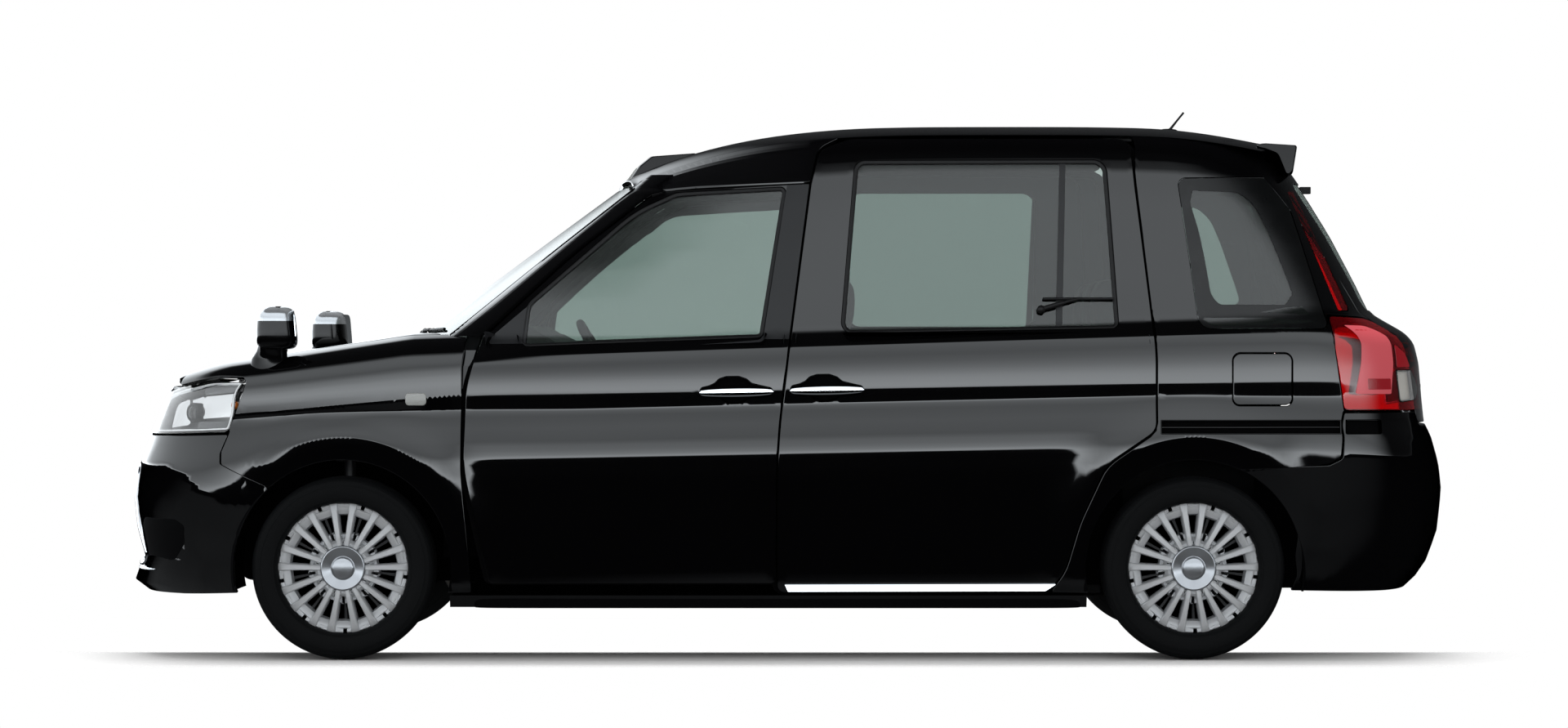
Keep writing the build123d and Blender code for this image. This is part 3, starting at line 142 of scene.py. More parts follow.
# nose and tail on the centre line: height, station
NOSE_LINE = curve([(0.16, NOSE + 0.15), (0.205, NOSE + 0.06), (0.228, NOSE + 0.014), (0.253, NOSE + 0.003),
    (0.28, NOSE + 0.022), (0.318, NOSE + 0.038), (0.416, NOSE + 0.015), (0.52, NOSE + 0.007),
    (0.611, NOSE + 0.021), (0.676, NOSE + 0.047), (0.742, NOSE + 0.069), (0.807, NOSE + 0.094),
    (0.839, NOSE + 0.108), (0.872, NOSE + 0.129), (0.904, NOSE + 0.164), (0.923, NOSE + 0.205),
    (0.945, NOSE + 0.27)], 0.009)
TAIL_LINE = curve([(0.18, TAIL - 0.15), (0.214, TAIL - 0.125), (0.276, TAIL - 0.06), (0.4, TAIL - 0.014),
    (0.54, TAIL), (0.62, TAIL - 0.009), (0.656, TAIL - 0.018), (0.723, TAIL - 0.037), (0.757, TAIL - 0.057),
    (0.826, TAIL - 0.064), (0.958, TAIL - 0.075), (1.024, TAIL - 0.091), (1.057, TAIL - 0.119),
    (1.09, TAIL - 0.176), (1.122, TAIL - 0.232), (1.221, TAIL - 0.278), (1.386, TAIL - 0.363),
    (1.517, TAIL - 0.442), (1.617, TAIL - 0.51), (1.688, TAIL - 0.59), (1.73, TAIL - 0.66)], 0.01)
# bonnet's centre line: station, height
HOOD_TOP = curve([(-2.118, 0.78), (-2.09, 0.839), (-2.071, 0.872), (-2.036, 0.904), (-1.99, 0.923),
    (-1.935, 0.94), (-1.881, 0.956), (-1.827, 0.969), (-1.7, 0.987), (-1.225, 1.06), (-1.028, 1.066)], 0.014)


def key_heights(x):
    """Heights of the side's character lines at a station, beside their reference heights."""
    top = ROOF_TOP(np.maximum(x, -0.5))
    belt = BELT(x)
    keys = [0 * x, WIDEST(x), CREASE(x), BAND(x), belt, belt + 0.05, RAIL_Z - 0.8 * (ROOF_Z - top),
        top - 0.045, top + 1.0]
    return keys, [0.0, 0.655, 0.821, 0.868, 1.01, 1.06, 1.617, 1.705, 2.75]


def reference(x, z):
    keys, levels = key_heights(x)
    out = z + 0.0
    for low, high, a, b in zip(keys, keys[1:], levels, levels[1:]):
        out = np.where(z >= low, a + (z - low) * (b - a) / (high - low), out)
    return out


def height(x, level):
    keys, levels = key_heights(x)
    index = min(int(np.searchsorted(levels, level, side="right")) - 1, len(levels) - 2)
    share = (level - levels[index]) / (levels[index + 1] - levels[index])
    return keys[index] + share * (keys[index + 1] - keys[index])


EYEBROW_R = 0.424
ARCH_R = 0.35


def flare(x, z):
    """How far the side swells out round a wheel arch."""
    total = 0 * x
    for axle, amount in ((FRONT_AXLE, 0.01), (REAR_AXLE, 0.007)):
        r = np.hypot(x - axle, z - HUB_Z)
        outer = amount * np.exp(-(np.maximum(r - EYEBROW_R, 0) / 0.075) ** 2)
        inner = 0.13 * np.maximum(EYEBROW_R - r, 0) * (r > ARCH_R - 0.06)
        total = total + (outer - inner) * eased(z, 0.16, 0.42)
    return total


def plain_half_width(x, z):
    level = reference(x, z)
    shoulder = eased(level, 0.975, 1.09)
    inset = PLAN_LOW(x) * (1 - shoulder) + PLAN_BELT(x) * shoulder
    inset = inset + (PLAN_ROOF(x) - PLAN_BELT(x)) * eased(level, 1.06, 1.75)
    return HALF_W - SIDE(level) - inset + flare(x, z)


# section of the bonnet: share of the half width, share of the rise from the band to the crown
CROWN_Q = 1 - np.linspace(1, 0, 400) ** 2.2
CROWN_F = 0.04 * CROWN_Q ** 2 + 0.96 * (1 - (1 - CROWN_Q ** 12) ** 0.2)
CROWN_S = np.concatenate([[0], np.cumsum(np.hypot(np.diff(CROWN_Q) * 0.8, np.diff(CROWN_F) * 0.17))])
CROWN_L = CROWN_S[-1]


def half_width(x, z):
    """Side skin, with the front wings turning over into the bonnet above the band."""
    side = plain_half_width(x, z)
    band = BAND(x)
    rise = np.maximum(HOOD_TOP(x) - band, 0.02)
    share = np.clip((z - band) / rise, 0, 1)
    over = plain_half_width(x, np.minimum(z, band)) * np.interp(1 - share, CROWN_F, CROWN_Q)
    return np.where((x < -1.0) & (z > band), over, side)


# ------------------------------------------------------------------ body surfaces
def spline(controls, at):
    """Uniform cubic B-spline; controls are rows of x and y arrays, one more beyond each end."""
    points = np.array(controls)
    span = np.clip(at.astype(int), 0, len(controls) - 4)
    t = at - span
    weights = [(1 - t) ** 3 / 6, (3 * t ** 3 - 6 * t ** 2 + 4) / 6, (-3 * t ** 3 + 3 * t ** 2 + 3 * t + 1)
        / 6, t ** 3 / 6]
    columns = np.arange(len(at))
    total = np.zeros((2, len(at)))
    for step, weight in enumerate(weights):
        total += points[span + step, :, columns].T * weight
    return total


END_STEPS = 6
RING_L = 1.9


def ring(share, z, end, side_end, inward):
    """Plan curve at a height from the middle of an end round its corner to the side."""
    full = half_width(end + inward * 0.3, z)
    near = end + inward * 0.34
    controls = [(end, 0.4 * full), (end, 0 * full), (end, -0.4 * full), (end + inward * 0.062, -0.79 * full),
        (end + inward * 0.215, -0.965 * full)]
    for step in range(END_STEPS + 2):
        x = near + (side_end - near) * step / END_STEPS
        controls.append((x, -half_width(x, z)))
    x, y = spline(controls, share * (len(controls) - 3))
    close = eased(inward * (x - end), 0.45, 0.62)
    y = y * (1 - close) - half_width(x, z) * close
    return np.stack([x, y, z], axis=-1)


def nose_surface(a, z):
    return ring(np.asarray(a) / RING_L, z, NOSE_LINE(z), -1.02 + 0 * z, 1.0)


def tail_surface(a, z):
    return ring(1 - np.asarray(a) / RING_L, z, TAIL_LINE(z), 0.8 + 0 * z, -1.0)


def side_surface(x, z):
    return np.stack([x, -plain_half_width(x, z), z], axis=-1)


def solve(function, target, low, high):
    """Bisection for a rising function, on arrays."""
    low, high = low + 0 * target, high + 0 * target
    for _ in range(36):
        mid = (low + high) / 2
        under = function(mid) < target
        low, high = np.where(under, mid, low), np.where(under, high, mid)
    return (low + high) / 2


def on_ring(surface, rows):
    """Surface coordinates of outline rows: side view x, z, radius, or end view y, z, radius, "end"."""
    sign = 1 if surface is nose_surface else -1
    flat = np.array([row[:3] for row in rows], float)
    from_side = solve(lambda a: surface(a, flat[:, 1])[:, 0], flat[:, 0], 0.0, RING_L)
    from_end = solve(lambda a: surface(a, flat[:, 1])[:, 1] * -sign, np.abs(flat[:, 0]) * sign, 0.0, RING_L)
    at_end = np.array([len(row) == 4 for row in rows])
    flat[:, 0] = np.where(at_end, from_end, from_side)
    return [tuple(row) for row in flat]


def side_loop(surface, rows, step=0.008):
    """Closed outline whose straight edges stay straight in side view."""
    return np.array([row[:2] for row in on_ring(surface, [(x, z, 0.0) for x, z in corners(rows, step)])])


BAND_TABLE_X = np.arange(-2.13, -1.0, 0.005)
_band_z = BAND(BAND_TABLE_X)
_band_a = solve(lambda a: nose_surface(a, _band_z)[:, 0], BAND_TABLE_X, 0.0, RING_L)
BAND_TABLE_Y = gaussian(-nose_surface(_band_a, _band_z)[:, 1], 1.5)


def hood_surface(x, t):
    """Bonnet and the upper wings; t runs from the band line, 0, up and over to the middle, 1."""
    q = np.interp((1 - t) * CROWN_L, CROWN_S, CROWN_Q)
    f = np.interp((1 - t) * CROWN_L, CROWN_S, CROWN_F)
    half = np.interp(x, BAND_TABLE_X, BAND_TABLE_Y)
    top = HOOD_TOP(x)
    return np.stack([x, -half * q, top - (top - BAND(x)) * f], axis=-1)


def hood_scaled(x, b):
    return hood_surface(x, b / CROWN_L)


def hood_from_plan(x, y):
    q = np.clip(np.abs(y) / np.interp(x, BAND_TABLE_X, BAND_TABLE_Y), 0, 1)
    return CROWN_L - np.interp(q, CROWN_Q, CROWN_S)


def hood_from_side(x, z):
    f = np.clip((HOOD_TOP(x) - z) / (HOOD_TOP(x) - BAND(x)), 0, 1)
    return CROWN_L - np.interp(f, CROWN_F, CROWN_S)


def roof_edge(x):
    return ROOF_TOP(x) - 0.045


def roof_surface(x, y):
    edge = half_width(x, roof_edge(x))
    return np.stack([x, y, ROOF_TOP(x) - 0.045 * (np.abs(y) / edge) ** 4.5], axis=-1)


# windscreen: height, station in the middle, at the corner, half width
SCREEN_MID = curve([(1.03, -1.262), (1.05, -1.237), (1.31, -0.889), (1.537, -0.579), (1.56, -0.547)], 0.05)
SCREEN_CORNER = curve([(1.03, -1.123), (1.05, -1.097), (1.31, -0.78), (1.537, -0.495), (1.56, -0.466)], 0.05)
SCREEN_HALF = curve([(1.03, 0.728), (1.05, 0.724), (1.31, 0.672), (1.537, 0.618), (1.56, 0.612)], 0.05)


def screen_surface(y, z):
    bow = (np.abs(y) / SCREEN_HALF(z)) ** 2
    x = SCREEN_MID(z) + (SCREEN_CORNER(z) - SCREEN_MID(z)) * bow
    return np.stack([x, y, z], axis=-1)


# ------------------------------------------------------------------ outlines
def corners(rows, step=0.008):
    """Closed outline from rows of a, b, corner radius, as points a step apart at most."""
    points = [np.array(row[:2], float) for row in rows]
    cuts = []
    for index, row in enumerate(rows):
        back, ahead = points[index - 1] - points[index], points[(index + 1) % len(rows)] - points[index]
        b, f = np.linalg.norm(back), np.linalg.norm(ahead)
        cosine = np.clip(back @ ahead / (b * f), -1, 1)
        half_turn = (math.pi - math.acos(cosine)) / 2
        cut = min(row[2] * math.tan(half_turn), 0.48 * b, 0.48 * f)
        cuts.append((points[index] + back / b * cut, points[index], points[index] + ahead / f * cut,
            half_turn, cut))
    out = []
    for index, (start, corner, end, half_turn, cut) in enumerate(cuts):
        length = 2 * half_turn * cut / max(math.tan(half_turn), 1e-9)
        count = max(1, int(length / step), int(2 * half_turn / 0.25)) if cut > 1e-9 else 0
        for share in np.linspace(0, 1, count + 1):
            weight = math.cos(half_turn)
            blend = np.array([(1 - share) ** 2, 2 * share * (1 - share) * weight, share ** 2])
            out.append((blend[0] * start + blend[1] * corner + blend[2] * end) / blend.sum())
        following = cuts[(index + 1) % len(cuts)][0]
        count = int(np.linalg.norm(following - end) / step)
        out += [end + (following - end) * k / (count + 1) for k in range(1, count + 1)]
    kept = [out[0]]
    for point in out[1:]:
        if np.linalg.norm(point - kept[-1]) > 5e-4:
            kept.append(point)
    if np.linalg.norm(kept[0] - kept[-1]) < 5e-4:
        kept.pop()
    loop = np.array(kept)
    following = np.roll(loop, -1, axis=0)
    area = np.sum(loop[:, 0] * following[:, 1] - following[:, 0] * loop[:, 1])
    return loop if area > 0 else loop[::-1]


def side_vectors(loop, skip=None):
    """Unit vectors to the outside of a counter-clockwise loop, at its points."""
    ahead = np.roll(loop, -1, axis=0) - loop
    ahead = ahead / np.maximum(np.linalg.norm(ahead, axis=1), 1e-9)[:, None]
    normal = np.stack([ahead[:, 1], -ahead[:, 0]], axis=1)
    if skip is not None:
        normal[skip & np.roll(skip, -1)] = 0
    total = normal + np.roll(normal, 1, axis=0)
    length = np.linalg.norm(total, axis=1)
    total = total / np.maximum(length, 1e-9)[:, None]
    both = (normal ** 2).sum(1) + (np.roll(normal, 1, axis=0) ** 2).sum(1) > 1.5
    stretch = np.where(both, np.clip(2 / np.maximum(length, 0.7), 1, 1.6), 1)
    return total * stretch[:, None]


def grown(loop, amount):
    return loop + side_vectors(loop) * amount


def inside(points, loops):
    """Even-odd test of points against closed loops."""
    count = np.zeros(len(points), int)
    for loop in loops:
        a, b = loop, np.roll(loop, -1, axis=0)
        for (ax, ay), (bx, by) in zip(a, b):
            crosses = (ay > points[:, 1]) != (by > points[:, 1])
            if by != ay:
                count += crosses & (points[:, 0] < ax + (points[:, 1] - ay) * (bx - ax) / (by - ay))
    return count % 2 == 1


def clear_of(points, loops, margin):
    edge = np.concatenate(loops)
    keep = np.ones(len(points), bool)
    for start in range(0, len(points), 2000):
        part = points[start:start + 2000]
        gap = np.linalg.norm(part[:, None] - edge[None], axis=2).min(axis=1)
        keep[start:start + 2000] = gap > margin
    return points[keep]


# ------------------------------------------------------------------ skins
def facing(surface, a, b, step=0.0015):
    along = surface(a + step, b) - surface(a - step, b)
    up = surface(a, b + step) - surface(a, b - step)
    normal = np.cross(along, up)
    return normal / np.maximum(np.linalg.norm(normal, axis=1), 1e-12)[:, None]


LEVELS = [0.15, 0.17, 0.19, 0.215, 0.25, 0.3, 0.35, 0.4, 0.45, 0.5, 0.54, 0.58, 0.61, 0.635, 0.652, 0.668,
    0.684, 0.7, 0.72, 0.74, 0.76, 0.78, 0.795, 0.807, 0.815, 0.8185, 0.821, 0.8235, 0.828, 0.84, 0.852,
    0.8555, 0.858, 0.8605, 0.866, 0.875, 0.889, 0.9, 0.912, 0.925, 0.938, 0.951, 0.963, 0.975, 0.986, 0.997,
    1.005, 1.0075, 1.01, 1.0125, 1.018, 1.03, 1.045, 1.06, 1.08, 1.11, 1.15, 1.2, 1.25, 1.3, 1.35, 1.4, 1.45,
    1.5, 1.54, 1.57, 1.595, 1.617, 1.637, 1.655, 1.67, 1.682, 1.692, 1.7]


def side_seeds(loop, surface=None):
    """Points that follow the character lines and the wheel arches, for a panel of the side."""
    low, high = loop.min(axis=0), loop.max(axis=0)
    stations = np.arange(low[0] + 0.01, high[0], 0.024)
    points = []
    for level in LEVELS:
        z = level + 0 * stations
        for _ in range(4):
            x = stations if surface is None else surface(stations, z)[:, 0]
            z = height(x, level)
        points.append(np.stack([stations, z], axis=1))
    points = np.concatenate(points)
    rings = []
    for axle in (FRONT_AXLE, REAR_AXLE):
        at = axle if surface is None else None
        spin = np.radians(np.arange(-25, 206, 2.0))
        if at is None:
            nearest = surface(np.array([high[0] * 0.5]), np.array([0.7]))[0, 0]
            if abs(nearest - axle) > 1.0:
                continue
        for radius in (0.362, 0.376, 0.392, 0.408, 0.418, 0.4225, 0.4255, 0.43, 0.44, 0.455):
            x, z = axle + radius * np.cos(spin), HUB_Z + radius * np.sin(spin)
            if surface is None:
                rings.append(np.stack([x, z], axis=1))
                continue
            rising = surface(np.array([0.3]), np.array([0.6]))[0, 0] < surface(np.array([0.6]),
                np.array([0.6]))[0, 0]
            a = solve(lambda a: surface(a, z)[:, 0] * (1 if rising else -1), x * (1 if rising else -1), 0.0,
                RING_L)
            rings.append(np.stack([a, z], axis=1))
    x = points[:, 0] if surface is None else surface(points[:, 0], points[:, 1])[:, 0]
    off = np.minimum(np.hypot(x - FRONT_AXLE, points[:, 1] - HUB_Z), np.hypot(x - REAR_AXLE,
        points[:, 1] - HUB_Z))
    return np.concatenate([points[off > 0.462], *rings]) if rings else points


def even_seeds(pitch_a, pitch_b):
    def seeds(loop, surface=None):
        low, high = loop.min(axis=0), loop.max(axis=0)
        a, b = np.meshgrid(np.arange(low[0], high[0], pitch_a), np.arange(low[1], high[1], pitch_b))
        return np.stack([a.ravel(), b.ravel()], axis=1)
    return seeds


def skin(surface, outer, holes=(), seeds=side_seeds, lift=0.0, roll=0.0025, depth=0.014, way=1, back=0.0,
        seam=None, margin=0.007):
    """A panel's skin with rolled edges and returns, as points, faces and normals.

    Loops lie in the surface's own coordinates. Stretches of the outer loop where seam(places) holds carry
    on in a neighbouring skin and get no rolled edge. A back thickness closes the panel into a sheet. Way -1
    faces it inwards.
    """
    def at(pairs):
        normal = facing(surface, pairs[:, 0], pairs[:, 1])
        place = surface(pairs[:, 0], pairs[:, 1])
        rise = lift(place) if callable(lift) else lift + 0 * place[:, 0]
        return place + normal * rise[:, None], normal * way

    end_axis = 1 if surface in (roof_surface, hood_scaled) else 0
    loops, rims = [], []
    for index, loop in enumerate([outer, *holes]):
        place = surface(loop[:, 0], loop[:, 1])
        middle_line = np.abs(place[:, 1]) < 2e-3
        held = middle_line | (seam(place) if seam is not None and index == 0 else False)
        out = side_vectors(loop, held) * (1 if index == 0 else -1)
        out[middle_line, end_axis] = 0
        loops.append(loop - out * roll)
        rims.append((loop, held))
    seeded = seeds(outer, None if surface is side_surface else surface)
    seeded = seeded[inside(seeded, loops)]
    seeded = clear_of(seeded, loops, margin)
    flat = np.concatenate([*loops, seeded])
    edges, start = [], 0
    for loop in loops:
        edges += [(start + k, start + (k + 1) % len(loop)) for k in range(len(loop))]
        start += len(loop)
    made = geometry.delaunay_2d_cdt([Vector(p) for p in flat], edges, [], 0, 1e-7, True)
    pairs = np.array([tuple(v) for v in made[0]])
    where = {source: place for place, sources in enumerate(made[3]) for source in sources}
    triangles = np.array(made[2])
    triangles = triangles[inside(pairs[triangles].mean(axis=1), loops)]
    first, second = pairs[triangles[:, 1]] - pairs[triangles[:, 0]], pairs[triangles[:,
        2]] - pairs[triangles[:, 0]]
    turned = (first[:, 0] * second[:, 1] - first[:, 1] * second[:, 0]) * way < 0
    triangles[turned] = triangles[turned][:, ::-1]
    place, towards = at(pairs)
    across = np.cross(place[triangles[:, 1]] - place[triangles[:, 0]],
        place[triangles[:, 2]] - place[triangles[:, 0]])
    flat_way = np.zeros_like(place)
    for corner in range(3):
        np.add.at(flat_way, triangles[:, corner], across)
    flat_way /= np.maximum(np.linalg.norm(flat_way, axis=1), 1e-15)[:, None]
    stray = (flat_way * towards).sum(axis=1) < 0.9
    stray[[where[k] for k in range(sum(len(loop) for loop in loops))]] = False
    towards = np.where(stray[:, None], flat_way, towards)
    points, normals, faces = [place], [towards], [tuple(t) for t in triangles]
    total = len(pairs)
    if back:
        points.append(place - towards * back)
        normals.append(-towards)
        faces += [tuple(t[::-1] + total) for t in triangles]
        total *= 2
    start = 0
    for loop, (rim, held) in zip(loops, rims):
        count = len(loop)
        edge_ids = [where[start + k] for k in range(count)]
        start += count
        base, normal = at(loop)
        out = at(rim)[0] - base
        out = out / np.maximum(np.linalg.norm(out, axis=1), 1e-9)[:, None]
        out[held & (np.linalg.norm(at(rim)[0] - base, axis=1) < 1e-5)] = 0
        sink = (back - roll if back else depth(base) if callable(depth) else depth) + 0 * base[:, 0]
        rows = [(base + out * roll * 0.71 - normal * roll * 0.29, out + normal),
            (base + out * roll - normal * roll, out), (base + out * roll - normal * sink[:, None], out)]
        previous = edge_ids
        for places, towards in rows:
            ids = list(range(total, total + count))
            points.append(places)
            size = np.linalg.norm(towards, axis=1)[:, None]
            normals.append(np.where(size > 0.1, towards / np.maximum(size, 1e-9), normal))
            total += count
            faces += strips(previous, ids, held, way)
            previous = ids
        if back:
            faces += strips(previous, [k + len(pairs) for k in edge_ids], held, way)
    return [np.concatenate(points), faces, np.concatenate(normals)]


def strips(inner, outer, held, way):
    """Quads between two closed rows of vertices, left out along held stretches."""
    quads = []
    for j in range(len(inner)):
        n = (j + 1) % len(inner)
        if held[j] and held[n]:
            continue
        quad = (inner[j], outer[j], outer[n], inner[n])
        quads.append(quad if way > 0 else quad[::-1])
    return quads


def mirrored(part):
    flip = np.array([1, -1, 1])
    return [part[0] * flip, [tuple(reversed(face)) for face in part[1]], part[2] * flip]


def joined(*parts):
    points, faces, normals, start = [], [], [], 0
    for part in parts:
        points.append(part[0])
        normals.append(part[2])
        faces += [tuple(int(i) + start for i in face) for face in part[1]]
        start += len(part[0])
    return [np.concatenate(points), faces, np.concatenate(normals)]


def both(part):
    return joined(part, mirrored(part))


SHOWN = []


def piece(name, part, finish, body="root", stands_for=(), slot=None):
    """Turn points, faces and normals into an object that rides on a body."""
    mesh = bpy.data.meshes.new(name)
    mesh.from_pydata([tuple(p) for p in part[0]], [], part[1])
    mesh.shade_smooth()
    if isinstance(part[2], np.ndarray):
        mesh.normals_split_custom_set_from_vertices([tuple(n) for n in part[2]])
    else:
        mesh.set_sharp_from_angle(angle=part[2])
    mesh.materials.append(finish)
    made = bpy.data.objects.new(name, mesh)
    bpy.context.scene.collection.objects.link(made)
    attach(made, body)
    if stands_for:
        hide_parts(*stands_for)
    SHOWN.append(made)
    return made


# ------------------------------------------------------------------ finishes
def colour(code):
    """Linear colour for a socket from an sRGB hex code."""
    values = [int(code[k:k + 2], 16) / 255 for k in (1, 3, 5)]
    return (*(v / 12.92 if v <= 0.04045 else ((v + 0.055) / 1.055) ** 2.4 for v in values), 1.0)


def add(tree, kind, inputs=None, **settings):
    """One more shader node, with its settings and what feeds its sockets."""
    made = tree.nodes.new("ShaderNode" + kind)
    for key, value in settings.items():
        setattr(made, key, value)
    for key, value in (inputs or {}).items():
        if isinstance(value, bpy.types.NodeSocket):
            tree.links.new(value, made.inputs[key])
        else:
            made.inputs[key].default_value = value
    return made


def finish(name, tone, roughness, grain=None, mottle=None, **sockets):
    """Opaque finish. grain: size and depth in mm of a relief; mottle: size in mm and swing of the gloss."""
    material = bpy.data.materials.new(name)
    material.use_nodes = True
    tree = material.node_tree
    shader = tree.nodes["Principled BSDF"]
    shader.inputs["Base Color"].default_value = colour(tone)
    shader.inputs["Roughness"].default_value = roughness
    for key, value in sockets.items():
        shader.inputs[key.replace("_", " ")].default_value = value
    place = add(tree, "TexCoord").outputs["Object"]
    if grain:
        size, depth = grain
        noise = add(tree, "TexNoise", {"Vector": place, "Scale": 1000 / size, "Detail": 3.0})
        bump = add(tree, "Bump", {"Height": noise.outputs["Fac"], "Distance": depth / 1000, "Strength": 1.0})
        tree.links.new(bump.outputs["Normal"], shader.inputs["Normal"])
    if mottle:
        size, swing = mottle
        noise = add(tree, "TexNoise", {"Vector": place, "Scale": 1000 / size, "Detail": 2.0})
        gloss = add(tree, "MapRange", {"Value": noise.outputs["Fac"], "From Min": 0.3, "From Max": 0.7,
            "To Min": roughness - swing, "To Max": roughness + swing})
        tree.links.new(gloss.outputs["Result"], shader.inputs["Roughness"])
    return material


def clear(name, tone, roughness=0.0, ior=1.5, level=0.5):
    """See-through finish that lets the light lamps' shadows pass."""
    material = finish(name, tone, roughness, Transmission_Weight=1.0, IOR=ior, Specular_IOR_Level=level)
    tree = material.node_tree
    shader = tree.nodes["Principled BSDF"]
    path = add(tree, "LightPath")
    passing = add(tree, "BsdfTransparent", {"Color": colour(tone)})
    mixed = add(tree, "MixShader", {0: path.outputs["Is Shadow Ray"], 1: shader.outputs[0],
        2: passing.outputs[0]})
    tree.links.new(mixed.outputs[0], tree.nodes["Material Output"].inputs["Surface"])
    return material


# solid black paint under clear lacquer: deep black with sharp, faint reflections
PAINT = finish("black_paint_lacquered", "#050506", 0.03, mottle=(180, 0.006))
# toughened green-grey window glass, lighter in front and darker behind
GLASS = clear("toughened_glass_green", "#A6B5B0")
PRIVACY = clear("toughened_glass_grey", "#9CABA6")
# black ceramic enamel fired round the edge of bonded glass: matt black
FRIT = finish("ceramic_frit_fired", "#0A0B0C", 0.3, Specular_IOR_Level=0.3, mottle=(40, 0.03))
# extruded EPDM seals: dull black rubber
SEAL = finish("epdm_rubber_extruded", "#0C0C0D", 0.55, grain=(1.5, 0.05), Specular_IOR_Level=0.25)
# moulded polypropylene with a fine leather grain: dark grey, soft sheen
PLASTIC = finish("polypropylene_moulded_grained", "#161719", 0.48, grain=(1.2, 0.08), Specular_IOR_Level=0.35)
# gloss black moulded ABS: handles' backs, pillar covers
GLOSS_BLACK = finish("abs_moulded_gloss", "#070708", 0.09, mottle=(90, 0.02), Specular_IOR_Level=0.2)
# bright chrome plate on ABS: mirror-like trim
CHROME = finish("chrome_plate_on_abs", "#DADCDF", 0.07, mottle=(60, 0.015), Metallic=1.0)
# silver wheel lacquer over moulded covers: light metallic grey
SILVER = finish("silver_wheel_lacquer", "#B9BCBF", 0.38, grain=(0.6, 0.02), Metallic=0.12)
# brighter burnished silver of the wheel centres
HUB = finish("silver_centre_burnished", "#9A9DA1", 0.24, mottle=(30, 0.03), Metallic=0.7)
# vulcanised tyre rubber: matt dark grey
RUBBER = finish("tyre_rubber_vulcanised", "#0B0C0D", 0.7, grain=(2.5, 0.12), Specular_IOR_Level=0.08)
# clear moulded polycarbonate lamp lens
LENS = clear("polycarbonate_lens_clear", "#FAFCFD", level=0.5)
# red moulded acrylic lens
RED_LENS = clear("acrylic_lens_red", "#D8222C", 0.0, level=0.35)
# aluminised reflector bowl: bright, with fine pressed lines
REFLECTOR = finish("aluminised_reflector", "#E6E8EA", 0.12, grain=(9, 0.35), Metallic=1.0)
# amber indicator bulb glass
AMBER = finish("amber_bulb_glass", "#E0762A", 0.15, mottle=(10, 0.03))
# side marker lens: frosted clear acrylic over a white inner
MARKER = finish("marker_lens_frosted", "#9FA2A0", 0.12, grain=(5, 0.25))
# bright red reflex panel behind the lens, pressed in small squares
STOP_PANEL = finish("reflex_panel_pressed_red", "#DD5B64", 0.25, grain=(4, 0.15))
# deep red lens over the indicator cluster
DARK_RED = finish("lens_moulded_deep_red", "#9A1822", 0.12, grain=(5, 0.3))
# pale fluted inner of the reversing lamp
FLUTED = finish("fluted_lamp_inner", "#B9B2A6", 0.25, grain=(7, 0.9))
# silvered mirror glass
MIRROR = finish("mirror_glass_silvered", "#C9CED2", 0.02, mottle=(120, 0.006), Metallic=1.0)
# black moulded mesh of the grilles
MESH_BLACK = finish("grille_mesh_moulded", "#0B0B0C", 0.35, grain=(12, 4.0), Specular_IOR_Level=0.3)
# unpainted black channel in the shade: almost no sheen
CHANNEL = finish("moulded_channel_matt_black", "#060607", 0.8, grain=(3, 0.2), Specular_IOR_Level=0.03)
# satin bright caps of the mirrors and the chin blade: chrome over a pale base
SATIN = finish("satin_chrome_cap", "#B4B8BC", 0.16, mottle=(60, 0.02), Metallic=0.6)
# white moulded face of the roof lamp
LAMP_FACE = finish("roof_lamp_face_moulded", "#D9DAD6", 0.3, mottle=(60, 0.05))
# grey moulded lamp bezel
BEZEL = finish("lamp_bezel_moulded_grey", "#77797C", 0.35, mottle=(50, 0.05))
# sprayed underbody wax: matt black, lumpy
UNDERBODY = finish("underbody_coat_sprayed", "#111112", 0.8, grain=(14, 0.9), Specular_IOR_Level=0.2)
# rolled and pressed steel in chassis black
STEEL = finish("chassis_steel_painted", "#1E1F20", 0.5, grain=(3, 0.1), Specular_IOR_Level=0.35)
# cast iron block and discs
IRON = finish("cast_iron_raw", "#4A4A4B", 0.55, grain=(2, 0.15), Metallic=0.7)
# stainless exhaust pipe, dulled by heat
EXHAUST = finish("stainless_tube_rolled", "#7C7873", 0.35, mottle=(60, 0.1), Metallic=1.0)
# woven seat cloth: charcoal, soft
CLOTH = finish("seat_cloth_woven", "#26272B", 0.85, grain=(1.6, 0.3), Sheen_Weight=0.15,
    Specular_IOR_Level=0.2)
# soft-touch dashboard skin
DASH = finish("dash_skin_slush_moulded", "#1C1D20", 0.6, grain=(1.4, 0.12), Specular_IOR_Level=0.3)
# door cards and pillar trims inside: moulded dark grey
CARD = finish("door_card_moulded", "#2A2B2E", 0.6, grain=(1.4, 0.1), Specular_IOR_Level=0.3)
# pale polished number plate
PLATE = finish("plate_blank_acrylic", "#E9E9E4", 0.3, mottle=(80, 0.05))

BODY_OF = {node: body for body, nodes in frame["record"]["behaviour"]["bodies"].items() for node in nodes}


